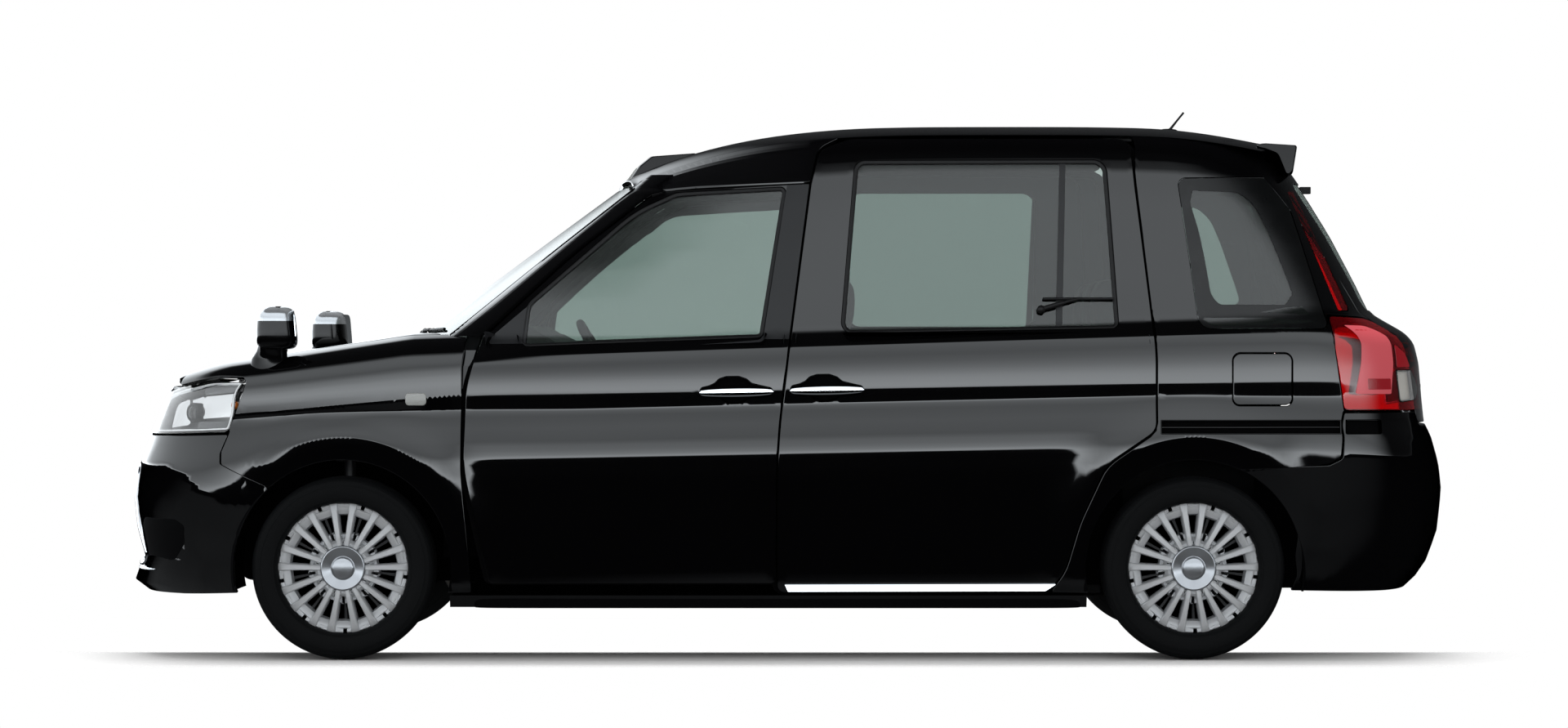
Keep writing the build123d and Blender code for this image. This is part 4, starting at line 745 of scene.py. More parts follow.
# ------------------------------------------------------------------ outlines of the panels (metres)
FRONT_DOOR = [(B_X + 0.001, FOOT_Z, 0.02), (B_X + 0.002, 0.69, 2.5), (B_X + 0.046, 1.045, 2.5),
    (B_X + 0.112, DOOR_TOP, 0.012), (B_X - 0.396, DOOR_TOP - 0.028, 0.15), (-0.7, 1.309, 1.8),
    (-0.962, 1.063, 0.008), (-0.985, 1.06, 0.025), (DOOR_X + 0.009, 0.88, 0.3), (DOOR_X, 0.62, 0.5),
    (DOOR_X + 0.082, FOOT_Z, 0.025),]
FRONT_WINDOW = [(B_X - 0.044, 1.042, 0.02), (B_X + 0.034, 1.532, 0.018), (-0.36, 1.514, 0.09),
    (-0.5, 1.45, 0.4), (-0.842, 1.15, 0.06), (-0.86, 1.013, 0.02),]
REAR_FOOT = [(C_X, 0.74, 0.055), (1.03, 0.628, 0.14), (0.943, 0.44, 0.5), (0.9, 0.29, 0.2),
    (0.847, FOOT_Z - 0.03, 0.055),]
SLIDING_DOOR = [(B_X + 0.001, FOOT_Z - 0.03, 0.025), (B_X + 0.002, 0.69, 2.5), (B_X + 0.046, 1.045, 2.5),
    (B_X + 0.112, DOOR_TOP, 0.4), (0.107, 1.66, 0.06), (0.207, TALL_TOP, 0.09), (1.122, TALL_TOP, 0.045),
    (1.136, 1.53, 0.5), (C_X, 1.0, 0.9),] + REAR_FOOT
REAR_DOOR = SLIDING_DOOR[:4] + [(0.09, 1.647, 0.04), (1.128, 1.647, 0.06), (C_X, 1.0, 0.9)] + REAR_FOOT
REAR_WINDOW = [(0.174, 1.055, 0.035), (0.223, 1.618, 0.035), (1.04, 1.62, 0.045), (1.073, 1.072, 0.022)]
QUARTER_WINDOW = [(1.272, 1.56, 0.025), (1.62, 1.566, 0.02), (1.757, 1.07, 0.02), (1.335, 1.07, 0.045),]
HIGH_LAMP = [(1.644, 1.524, 0.006), (1.669, 1.525, 0.006), (1.836, 1.129, 0.006), (1.796, 1.129, 0.006)]
TAIL_LAMP = [(1.757, 1.114, 0.014), (1.888, 1.106, 0.1), (2.034, 1.042, 0.03), (2.11, 0.897, 0.2),
    (2.14, 0.805, 0.01), (1.803, 0.806, 0.014),]
FUEL_LID = [(1.441, 0.989, 0.024), (1.63, 0.989, 0.024), (1.63, 0.824, 0.02), (1.441, 0.824, 0.02)]
FRONT_WING_JOINT = [(NOSE + 0.398, 0.733, 0.006), (NOSE + 0.371, 0.67, 0.02), (NOSE + 0.371, 0.63, 0.02),
    (FRONT_AXLE - 0.25, 0.56, 0.006)]
GATE_SIDE = [(0.612, 0.764, 0.02), (0.64, 1.04, 0.06), (0.61, 1.15, 0.2), (0.56, 1.694, 0.02)]
HALF_GAP = PANEL_GAP / 2


def arc(axle, radius, start, stop, step=3.0):
    """Rows round a wheel arch between two angles in degrees, counted from behind the wheel upwards."""
    count = max(2, int(abs(stop - start) / step))
    angles = np.radians(np.linspace(start, stop, count + 1))
    return [(axle + radius * math.cos(t), HUB_Z + radius * math.sin(t), 0.0) for t in angles]


def panel(name, part, finish_of=PAINT, **more):
    return piece(name, part, finish_of, BODY_OF.get(name, "root"), **more)


def sheet_of(surface, rows, thickness=0.005, inset=0.005, grow=-0.0004, pitch=0.04, holes=()):
    """A closed pane that lies inset behind a panel's skin."""
    return skin(surface, grown(corners(rows), grow), holes, seeds=even_seeds(pitch, pitch), lift=-inset,
        roll=0.0008, back=thickness)


FRONT_HANDLE = (-0.28, 0.8625, 0.016)
REAR_HANDLE = (0.012, 0.869, 0.016)


def handle_rows(start, centre_z, rise):
    """Finger pocket behind a pull handle, from its front end; rise is the slope of the crease under it."""
    shape = [(0.0, 0.004), (0.004, 0.016), (0.03, 0.022), (0.048, 0.03), (0.062, 0.044), (0.085, 0.051),
        (0.125, 0.051), (0.15, 0.042), (0.166, 0.028), (0.196, 0.02), (0.23, 0.012), (0.236, 0.0),
        (0.228, -0.01), (0.2, -0.016), (0.16, -0.017), (0.146, -0.028), (0.12, -0.034), (0.1, -0.034),
        (0.078, -0.027), (0.066, -0.016), (0.028, -0.014), (0.006, -0.008)]
    return [(start + a, centre_z + b + rise * a, 0.012) for a, b in shape]


def door_depth(place):
    return FRAME_T + (DOOR_T - FRAME_T) * (1 - eased(place[:, 2], BELT_Z - 0.05, BELT_Z - 0.02))


def door_part(rows, window, handle):
    """A door's outer skin with its flange and the body and card behind it."""
    outer, hole = grown(corners(rows), -HALF_GAP), corners(window)
    shell = skin(side_surface, outer, [hole, corners(handle_rows(*handle), 0.004)], depth=0.012)
    card = skin(side_surface, grown(outer, -0.016), [grown(hole, 0.012)], seeds=even_seeds(0.05, 0.04),
        lift=lambda p: -door_depth(p), depth=lambda p: door_depth(p) - 0.012, roll=0.006, way=-1,
        margin=0.015)
    return shell, card


def shaded(part, share, way=(0.0, 0.0, 1.0)):
    """Fine modelling of a skin given by its shading: share says how far it turns at each place."""
    lean = part[2] + share(part[0])[:, None] * np.array(way)
    return [part[0], part[1], lean / np.linalg.norm(lean, axis=1)[:, None]]


def evened(part, limit=0.035, times=3):
    """Shading that strays from its surroundings on a plain skin is brought back to them."""
    places, faces, normals = part
    corners_of = np.array([face for face in faces if len(face) == 3])
    for _ in range(times):
        around = np.zeros_like(normals)
        for first, second in ((0, 1), (1, 2), (2, 0), (1, 0), (2, 1), (0, 2)):
            np.add.at(around, corners_of[:, first], normals[corners_of[:, second]])
        size = np.linalg.norm(around, axis=1)[:, None]
        around = around / np.maximum(size, 1e-9)
        stray = (np.linalg.norm(around - normals, axis=1)[:, None] > limit) & (size > 1e-6)
        normals = np.where(stray, around, normals)
    return [places, faces, normals]


UPWARD = (-0.35, 0.0, 1.3)


def frame_share(place):
    """How far the front door's frame is rounded over, ahead of and above its window."""
    x, z = place[:, 0], place[:, 2]
    ahead = eased(-(x - np.interp(z, [1.06, 1.15, 1.45, 1.51, 1.6], [-0.868, -0.842, -0.5, -0.3, 0.3])),
        -0.01, 0.004)
    return ahead * eased(z, 1.05, 1.07)


# ------------------------------------------------------------------ doors
front_shell, front_card = door_part(FRONT_DOOR, FRONT_WINDOW, FRONT_HANDLE)
front_shell = shaded(front_shell, frame_share, UPWARD)
sliding_shell, sliding_card = door_part(SLIDING_DOOR, REAR_WINDOW, REAR_HANDLE)
rear_shell, rear_card = door_part(REAR_DOOR, REAR_WINDOW, REAR_HANDLE)
front_pane = sheet_of(side_surface, FRONT_WINDOW)
rear_pane = sheet_of(side_surface, REAR_WINDOW)
for door_name, shell, card, pane_name, pane, flip, tint in (("front_door_left", front_shell, front_card,
        "front_glass_left", front_pane, False, GLASS), ("front_door_right", front_shell, front_card,
        "front_glass_right", front_pane, True, GLASS), ("sliding_door", sliding_shell, sliding_card,
        "sliding_door_glass", rear_pane, False, PRIVACY), ("rear_door_right", rear_shell, rear_card,
        "rear_glass_right", rear_pane, True, PRIVACY),):
    turn = mirrored if flip else (lambda part: part)
    panel(door_name, turn(shell), PAINT, stands_for=[door_name], slot="black_paint")
    piece(door_name + "_card", turn(card), CARD, BODY_OF[door_name], slot="dash_plastic")
    panel(pane_name, turn(pane), tint, stands_for=[pane_name], slot="tinted_glass")


# ------------------------------------------------------------------ front wings
def on_band(place):
    return (np.abs(place[:, 2] - BAND(place[:, 0])) < 2e-3) & (place[:, 0] < DOOR_X + 0.01)


band_x = np.arange(-1.784, DOOR_X - 0.006, 0.02)
wing_door_edge = [(DOOR_X - 0.0035, 0.86, 0.0), (DOOR_X - 0.0055, 0.76, 0.3), (DOOR_X - 0.006, 0.62, 0.5),
    (DOOR_X + 0.076, FOOT_Z, 0.5), (DOOR_X + 0.078, FOOT_Z - 0.028, 0.006)]
wing_low_rows = (arc(FRONT_AXLE, ARCH_R, -13.4, 131, 3) + [(x, z, r) for x, z,
    r in reversed(FRONT_WING_JOINT)] + [(NOSE + 0.396, 0.745, 0.0)] + [(x, float(BAND(x)),
    0.0) for x in band_x] + [(DOOR_X - 0.0035, float(BAND(DOOR_X)), 0.0)] + wing_door_edge)
wing_low = skin(nose_surface, corners(on_ring(nose_surface, wing_low_rows)), seam=on_band)


def wing_turn(place):
    """The wing's flank is hollow over the arch, and its crease turns under ahead of the axle."""
    x, z = place[:, 0], place[:, 2]
    level = reference(x, z)
    over_arch = eased(np.hypot(x - FRONT_AXLE, z - HUB_Z), 0.435,
        0.465) * np.exp(-((x - FRONT_AXLE) / 0.2) ** 2)
    tuck = ((level > 0.8235) & (level < 0.8585)) * eased(-x, 1.05, 1.25)
    return -0.11 * over_arch * (level < 0.8235) - 0.3 * tuck


wing_low = shaded(wing_low, wing_turn)


def on_hood(rows):
    """Bonnet surface coordinates of side-view rows x, z, radius or plan rows x, y, radius, "plan"."""
    flat = np.array([row[:3] for row in rows], float)
    from_plan = hood_from_plan(flat[:, 0], flat[:, 1])
    from_side = hood_from_side(flat[:, 0], flat[:, 1])
    flat[:, 1] = np.where(np.array([len(row) == 4 for row in rows]), from_plan, from_side)
    return [tuple(row) for row in flat]


BONNET_SIDE = [(NOSE + 0.205, 0.48, 0.08, "plan"), (NOSE + 0.3, 0.59, 0.3, "plan"), (DOOR_X - 0.08, 0.696,
    0.015, "plan"), (DOOR_X - 0.088, 0.656, 0.04, "plan"), (DOOR_X - 0.2, 0.3, 0.6, "plan")]
hood_seeds = even_seeds(0.035, 0.016)
bonnet_rows = [(NOSE + 0.145, 0.0, 0.0, "plan"), (NOSE + 0.152, 0.25, 0.5, "plan"), (NOSE + 0.175, 0.4, 0.2,
    "plan")]
bonnet_rows += BONNET_SIDE + [(DOOR_X - 0.212, 0.0, 0.0, "plan")]
bonnet_half = skin(hood_scaled, corners(on_hood(bonnet_rows)), seeds=hood_seeds)
panel("bonnet", both(bonnet_half), stands_for=["bonnet"], slot="black_paint")
wing_top_rows = [(DOOR_X - 0.0035, float(BAND(DOOR_X)), 0.0)]
wing_top_rows += [(DOOR_X - 0.003, 0.95, 0.0), (DOOR_X + 0.004, 1.0, 0.0), (DOOR_X + 0.01, 0.706, 0.0,
    "plan")]
wing_top_rows += [(DOOR_X - 0.074, 0.703, 0.02, "plan"), (NOSE + 0.296, 0.597, 0.3, "plan"),
    (NOSE + 0.24, 0.545, 0.02, "plan"), (-1.98, 0.886, 0.01), (-1.85, 0.915, 0.06), (-1.742, 0.912, 0.02)]
wing_top_rows += [(-1.784, float(BAND(-1.784)), 0.0)]
wing_top_rows += [(x, float(BAND(x)), 0.0) for x in band_x[1:]]
wing_top = skin(hood_scaled, corners(on_hood(wing_top_rows)), seeds=hood_seeds, seam=on_band)
panel("front_wings", both(joined(wing_low, wing_top)), stands_for=["front_wings"], slot="black_paint")

# ------------------------------------------------------------------ rear quarters, roof and tailgate
def quarter_rows(door_rear):
    rows = [(0.853, FOOT_Z - 0.028, 0.01)] + arc(REAR_AXLE, ARCH_R, 193.6, 62, 3)
    rows += [(TAIL - 0.45, 0.634, 0.028), (TAIL - 0.411, 0.655, 0.028), (TAIL - 0.404, 0.8, 0.006)]
    rows += [(1.8, 0.803, 0.01)] + [(1.8 - 0.046 * t, 0.803 + 0.314 * t, 0.0) for t in np.arange(0.1, 0.95,
        0.1)]
    rows += [(1.754, 1.117, 0.014), (1.889, 1.109, 0.1), (2.02, 1.054, 0.01)]
    rows += [(0.646, 1.04, 0.03, "end"), (0.616, 1.15, 0.2, "end"), (0.566, 1.66, 0.01, "end")]
    rows += [(x, float(roof_edge(x)), 0.0) for x in np.arange(1.6, 1.14, -0.05)]
    return rows + door_rear


behind = grown(corners(SLIDING_DOOR), 0.003)
behind = behind[(behind[:, 0] > 0.853) & (behind[:, 1] > FOOT_Z - 0.02) & (behind[:, 1] < 1.59)]
behind = behind[np.argsort(-behind[:, 1])][::3]
left_rows = quarter_rows([(1.128, float(roof_edge(1.128)), 0.0), (1.1345, 1.62, 0.0)] + [(x, z, 0.0) for x,
    z in behind])
quarter_hole, lamp_hole, lid_loop = (side_loop(tail_surface, rows) for rows in (QUARTER_WINDOW, HIGH_LAMP,
    FUEL_LID))
quarter_loop = corners(on_ring(tail_surface, left_rows))
rail_rows = [(C_X + 0.012, 0.7735, 0.003), (1.788, 0.7735, 0.002), (1.788, 0.731, 0.002),
    (C_X + 0.012, 0.731, 0.003)]
rail_end_rows = [(1.806, 0.7735, 0.002), (1.924, 0.7735, 0.006), (1.924, 0.731, 0.006), (1.806, 0.731, 0.002)]
rail_end_loop = side_loop(tail_surface, rail_end_rows, 0.006)
rail_loop = side_loop(tail_surface, rail_rows, 0.006)
left_quarter = skin(tail_surface, quarter_loop, [quarter_hole, lamp_hole, grown(lid_loop, 0.003), rail_loop])
right_quarter = mirrored(skin(tail_surface, quarter_loop, [quarter_hole, lamp_hole]))
panel("quarter_panel_left", left_quarter, stands_for=["quarter_panel_left"], slot="black_paint")
panel("quarter_panel_right", right_quarter, stands_for=["quarter_panel_right"], slot="black_paint")
panel("fuel_lid", skin(tail_surface, lid_loop), stands_for=["fuel_lid"], slot="black_paint")
quarter_pane = sheet_of(tail_surface, on_ring(tail_surface, QUARTER_WINDOW), inset=0.001)
panel("quarter_glasses", both(quarter_pane), PRIVACY, stands_for=["quarter_glasses"], slot="tinted_glass")

gate_rows = [(0.0, 0.764, 0.0, "end")] + [(*row, "end") for row in GATE_SIDE] + [(0.0, 1.694, 0.0, "end")]
split = [(0.0, 1.134, 0.0, "end"), (0.54, 1.134, 0.04, "end"), (0.505, 1.554, 0.04, "end"),
    (0.0, 1.554, 0.0, "end")]
gate_loop = [gate_rows[0], *gate_rows[1:]] + split[::-1]
gate_half = skin(tail_surface, corners(on_ring(tail_surface, gate_loop)))
panel("tailgate", both(gate_half), stands_for=["tailgate"], slot="black_paint")
gate_pane = sheet_of(tail_surface, on_ring(tail_surface, split))
panel("tailgate_glass", both(gate_pane), PRIVACY, stands_for=["tailgate_glass"], slot="tinted_glass")

roof_rows = [(-0.579, 0.0, 0.0), (-0.556, -0.32, 0.5), (-0.5, -0.6, 0.03)]
roof_x = np.arange(-0.48, 1.6, 0.04)
roof_rows += [(x, -float(half_width(x, roof_edge(x))), 0.0) for x in roof_x]
roof_rows += [(1.604, -0.5, 0.03), (1.612, 0.0, 0.0)]
roof_loop = corners(roof_rows)


def on_roof_side(place):
    return (np.abs(place[:, 2] - roof_edge(place[:, 0])) < 4e-3) & (place[:, 0] < 1.59) & (place[:,
        0] > -0.47)


roof_half = skin(roof_surface, roof_loop, seeds=even_seeds(0.045, 0.03), seam=on_roof_side)
panel("roof", both(roof_half), stands_for=["roof"], slot="black_paint")


# ------------------------------------------------------------------ windscreen, A-pillars and cant rails
def facing_fix(part):
    return [part[0], [tuple(reversed(face)) for face in part[1]], -part[2]]


def windscreen_part():
    heights = np.linspace(1.052, 1.534, 25)
    shares = np.linspace(-1, 1, 41)
    points, faces, normals = [], [], []
    for back in (0.0, 0.006):
        for z in heights:
            y = shares * float(SCREEN_HALF(z))
            place = screen_surface(y, z + 0 * y)
            normal = -facing(screen_surface, y, z + 0 * y)
            points.append(place - normal * back)
            normals.append(normal * (1 if back == 0 else -1))
    count, rows = len(shares), len(heights)
    for sheet in range(2):
        for i in range(rows - 1):
            for j in range(count - 1):
                a = sheet * rows * count + i * count + j
                quad = (a, a + count, a + count + 1, a + 1)
                faces.append(quad if sheet == 0 else quad[::-1])
    rim = [i for i in range(count)] + [i * count + count - 1 for i in range(1, rows)]
    rim += [(rows - 1) * count + j for j in range(count - 2, -1, -1)] + [i * count for i in range(rows - 2, 0,
        -1)]
    shift = rows * count
    for a, b in zip(rim, rim[1:] + rim[:1]):
        faces.append((a, b, b + shift, a + shift))
    return [np.concatenate(points), faces, np.concatenate(normals)]


panel("windscreen", windscreen_part(), GLASS, stands_for=["windscreen"], slot="tinted_glass")

door_line = curve([(0.98, -1.028), (1.06, -0.975), (1.063, -0.962), (1.309, -0.7), (1.519, -0.437),
    (1.6, -0.34)], 0.02)


FRONT_DOOR_LOOP = corners(FRONT_DOOR)


def door_edge(z):
    """Foremost x of the front door at a height, or None above it."""
    loop = FRONT_DOOR_LOOP
    after = np.roll(loop, -1, axis=0)
    over = (loop[:, 1] - z) * (after[:, 1] - z) <= 0
    if not over.any():
        return -1e9
    a, b = loop[over], after[over]
    share = (z - a[:, 1]) / np.where(np.abs(b[:, 1] - a[:, 1]) < 1e-9, 1e-9, b[:, 1] - a[:, 1])
    return float((a[:, 0] + np.clip(share, 0, 1) * (b[:, 0] - a[:, 0])).min())


def a_pillar():
    """Skin between the windscreen's edge and the front door's edge, rounded over."""
    rows, shares = np.linspace(1.045, 1.575, 40), np.linspace(0, 1, 11)
    points = []
    for z in rows:
        inner = screen_surface(np.array([-float(SCREEN_HALF(z)) + 0.004]), np.array([z]))[0]
        x = max(float(door_line(z)), door_edge(z) if z < 1.521 else -9) - 0.003
        outer = side_surface(np.array([x]), np.array([z]))[0]
        bulge = np.array([inner[0] + 0.25 * (outer[0] - inner[0]), outer[1] - 0.004, z])
        curve_points = [(1 - t) ** 2 * inner + 2 * t * (1 - t) * bulge + t * t * outer for t in shares]
        curve_points.append(curve_points[-1] + np.array([0.002, 0.014, 0]))
        points.append(curve_points)
    return grid_part(np.array(points))


def grid_part(points, flip=False, closed=False):
    """Smooth skin over a rows-by-columns array of points."""
    rows, columns = points.shape[:2]
    down = np.gradient(points, axis=0)
    across = np.gradient(points, axis=1)
    if closed:
        across = (np.roll(points, -1, axis=1) - np.roll(points, 1, axis=1)) / 2
    normal = np.cross(across, down)
    normal = normal / np.maximum(np.linalg.norm(normal, axis=2), 1e-12)[..., None]
    faces = []
    for i in range(rows - 1):
        for j in range(columns if closed else columns - 1):
            k = (j + 1) % columns
            faces.append((i * columns + j, i * columns + k, (i + 1) * columns + k, (i + 1) * columns + j))
    part = [points.reshape(-1, 3), faces, normal.reshape(-1, 3)]
    return facing_fix(part) if flip else part


cant_rows = [(-0.452, 1.522, 0.0), (-0.3, 1.5345, 0.5), (B_X + 0.112, DOOR_TOP + 0.003, 0.01),
    (0.101, 1.66, 0.06), (0.175, 1.698, 0.02)]
cant_x = np.arange(0.17, -0.52, -0.03)
cant_rows += [(x, float(roof_edge(x)), 0.0) for x in cant_x if roof_edge(x) > 1.53]
cant = skin(side_surface, corners(cant_rows), seam=on_roof_side)
right_cant_rows = cant_rows[:3] + [(0.088, 1.65, 0.04), (1.128, 1.65, 0.04)]
right_cant_rows += [(x, float(roof_edge(x)), 0.0) for x in np.arange(1.128, 0.19, -0.04)] + cant_rows[5:]
right_cant = skin(side_surface, corners(right_cant_rows), seam=on_roof_side)
pillar = shaded(a_pillar(), lambda p: np.full(len(p), 0.8), UPWARD)
cant, right_cant = (shaded(part, lambda p: eased(-p[:, 0], -0.16, 0.0), UPWARD) for part in (cant,
    right_cant))
rails = joined(pillar, cant, mirrored(joined(pillar, right_cant)))
panel("roof_rail_skin", rails, PAINT, stands_for=("roof_rails",), slot="black_paint")

# ------------------------------------------------------------------ bumpers
bumper_rows = [(0.0, 0.207, 0.0, "end"), (0.3, 0.207, 0.3, "end"), (-1.95, 0.207, 0.3), (-1.775, 0.213, 0.01)]
bumper_rows += arc(FRONT_AXLE, ARCH_R, 193, 133, 3)
bumper_rows += [(FRONT_AXLE - 0.253, 0.566, 0.006), (NOSE + 0.367, 0.634, 0.02), (NOSE + 0.367, 0.672, 0.02),
    (NOSE + 0.392, 0.728, 0.006)]
bumper_rows += [(-2.05, 0.721, 0.3), (0.449, 0.72, 0.02, "end"), (0.449, 0.758, 0.01, "end"),
    (0.0, 0.758, 0.0, "end")]
bumper_rows += [(0.0, 0.612, 0.0, "end"), (0.465, 0.612, 0.03, "end"), (0.556, 0.298, 0.03, "end"),
    (0.0, 0.298, 0.0, "end")]
front_bumper = skin(nose_surface, corners(on_ring(nose_surface, bumper_rows)), roll=0.003)
BROW = curve([(-2.2, 0.636), (-2.02, 0.636), (-1.955, 0.604), (-1.9, 0.548), (-1.805, 0.507), (-1.7, 0.505)],
    0.012)
front_bumper = shaded(evened(front_bumper), lambda p: -0.4 * eased(BROW(p[:, 0]) - p[:, 2], 0.0, 0.014))
panel("front_bumper", both(front_bumper), stands_for=["front_bumper"], slot="black_paint")

rear_rows = [(1.628, 0.222, 0.01), (1.95, 0.215, 0.3), (0.3, 0.216, 0.3, "end"), (0.0, 0.216, 0.0, "end"),
    (0.0, 0.757, 0.0, "end"), (0.606, 0.757, 0.02, "end"), (0.612, 0.799, 0.02, "end"), (2.05, 0.799, 0.2)]
rear_rows += [(TAIL - 0.398, 0.798, 0.006), (TAIL - 0.405, 0.65, 0.028), (TAIL - 0.45, 0.628, 0.028)]
rear_rows += arc(REAR_AXLE, ARCH_R, 67.5, 18, 3) + [(REAR_AXLE + 0.325, 0.33, 0.1)]
rear_bumper = skin(tail_surface, corners(on_ring(tail_surface, rear_rows)), [rail_end_loop], roll=0.003)
rear_bumper = shaded(evened(rear_bumper), lambda p: -0.4 * np.maximum(eased(0.66 - p[:, 2], 0.0, 0.012),
    eased(p[:, 0], 2.022, 2.045)))
panel("rear_bumper", both(rear_bumper), stands_for=["rear_bumper"], slot="black_paint")

# ------------------------------------------------------------------ lamps
headlamp_rows = [(-1.748, 0.906, 0.02), (-1.786, 0.8, 0.3), (-1.808, 0.736, 0.018), (-2.05, 0.727, 0.3),
    (0.458, 0.726, 0.014, "end"), (0.458, 0.858, 0.02, "end"), (-1.98, 0.88, 0.2), (-1.85, 0.909, 0.06)]
headlamp_loop = corners(on_ring(nose_surface, headlamp_rows))
lens_part = skin(nose_surface, headlamp_loop, seeds=even_seeds(0.02, 0.02), back=0.003, roll=0.001)
panel("headlamps", both(lens_part), LENS, stands_for=["headlamps"], slot="clear_lens")
bucket = skin(nose_surface, grown(headlamp_loop, -0.006), seeds=even_seeds(0.02, 0.02), lift=-0.055,
    depth=-0.05, roll=0.004)
piece("headlamp_bucket", both(bucket), BEZEL, slot="wheel_silver")

tail_loop = side_loop(tail_surface, TAIL_LAMP)
reverse_rows = [(1.985, 0.935, 0.004), (2.045, 0.935, 0.01), (2.08, 0.872, 0.02), (2.062, 0.838, 0.012),
    (1.998, 0.832, 0.01)]
reverse_loop = corners(on_ring(tail_surface, reverse_rows), 0.005)
tail_lens = skin(tail_surface, tail_loop, [reverse_loop], seeds=even_seeds(0.02, 0.02), back=0.004,
    roll=0.002)
high_loop = grown(lamp_hole, -0.0008)
high_lens = skin(tail_surface, high_loop, seeds=even_seeds(0.02, 0.02), back=0.004, roll=0.001)
panel("tail_lamps", both(joined(tail_lens, high_lens)), RED_LENS, stands_for=["tail_lamps"], slot="red_lens")
tail_back = skin(tail_surface, grown(tail_loop, -0.004), seeds=even_seeds(0.03, 0.03), lift=-0.035,
    depth=-0.03, roll=0.003)
high_back = skin(tail_surface, grown(high_loop, -0.001), seeds=even_seeds(0.03, 0.03), lift=-0.014,
    depth=-0.01, roll=0.001)
piece("tail_lamp_bucket", both(joined(tail_back, high_back)), REFLECTOR, slot="mirror_chrome")


# ------------------------------------------------------------------ small parts on the skin
def bead(surface, loop, section, closed=True):
    """Strip of one cross-section along a loop; the section is rows of sideways and outward offsets."""
    place = surface(loop[:, 0], loop[:, 1])
    normal = facing(surface, loop[:, 0], loop[:, 1])
    ahead = np.roll(place, -1, axis=0) - np.roll(place, 1, axis=0)
    if not closed:
        ahead[0], ahead[-1] = place[1] - place[0], place[-1] - place[-2]
    side = np.cross(ahead, normal)
    side = side / np.maximum(np.linalg.norm(side, axis=1), 1e-9)[:, None]
    points = np.stack([place + side * s + normal * n for s, n in section], axis=1)
    if closed:
        points = np.concatenate([points, points[:1]])
    return grid_part(points)


def patch(surface, rows, lift=0.0006, roll=0.0006, depth=0.0012, **more):
    """A thin raised or sunk field on a surface."""
    return skin(surface, corners(rows, 0.006), lift=lift, roll=roll, depth=depth, **more)


def floor_of(surface, loop, sink):
    """Floor of a recess: its walls are the returns of the hole above it."""
    return skin(surface, grown(loop, 0.001), seeds=even_seeds(0.012, 0.012), lift=-sink, roll=0.003,
        depth=-0.002, margin=0.004)


def tube(path, radii, sides=16, flat=(1, 1)):
    """Round bar along a path, with a radius at each point; flat squashes its section."""
    path = np.array(path, float)
    radii = np.broadcast_to(np.array(radii, float), (len(path),))
    ahead = np.gradient(path, axis=0)
    ahead = ahead / np.linalg.norm(ahead, axis=1)[:, None]
    up = np.array([0, 0, 1.0]) if abs(ahead[:, 2]).max() < 0.9 else np.array([0, 1.0, 0])
    first = np.cross(ahead, up)
    first = first / np.linalg.norm(first, axis=1)[:, None]
    second = np.cross(first, ahead)
    spin = np.linspace(0, 2 * math.pi, sides, False)
    points = (path[:, None] + radii[:, None, None] * (first[:, None] * np.cos(spin)[None, :, None] * flat[0]
        + second[:, None] * np.sin(spin)[None, :, None] * flat[1]))
    return grid_part(points, closed=True)


def blob(centre, size, power=(0.6, 0.6), bottom=-90, top=90, sides=40, rows=20):
    """Rounded box: half sizes, squareness from above and from the side, between two latitudes."""
    def signed(value, exponent):
        return np.sign(value) * np.abs(value) ** exponent
    lat = np.radians(np.linspace(bottom, top, rows))[:, None]
    lon = np.linspace(0, 2 * math.pi, sides, False)[None, :]
    x = signed(np.cos(lat), power[1]) * signed(np.cos(lon), power[0])
    y = signed(np.cos(lat), power[1]) * signed(np.sin(lon), power[0])
    z = signed(np.sin(lat), power[1]) * np.ones_like(lon)
    points = np.stack([centre[0] + size[0] * x, centre[1] + size[1] * y, centre[2] + size[2] * z], axis=-1)
    return grid_part(points, closed=True)


def slab(corner_low, corner_high):
    """Box with rounded edges."""
    low, high = np.array(corner_low), np.array(corner_high)
    return blob((low + high) / 2, (high - low) / 2, (0.12, 0.12), sides=48, rows=24)


def moved(part, change):
    points = change(part[0])
    step = change(part[0] + part[2] * 1e-4) - points
    return [points, part[1], step / np.maximum(np.linalg.norm(step, axis=1), 1e-12)[:, None]]


SEAL_SECTION = [(0.001, -0.004), (0.0004, 0.0006), (-0.003, 0.0012), (-0.01, -0.0006), (-0.0125, -0.0035),
    (-0.0125, -0.006)]
"""section of the rubber round a window, from the panel's edge onto the glass"""
for door_name, rows, flip in (("front_door_left", FRONT_WINDOW, False), ("front_door_right", FRONT_WINDOW,
        True), ("sliding_door", REAR_WINDOW, False), ("rear_door_right", REAR_WINDOW, True)):
    seal = bead(side_surface, corners(rows), SEAL_SECTION)
    panel(door_name + "_seal", mirrored(seal) if flip else seal, SEAL)
for part_piece, door_name in zip(SHOWN[-4:], ("front_door_left", "front_door_right", "sliding_door",
        "rear_door_right")):
    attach(part_piece, BODY_OF[door_name])

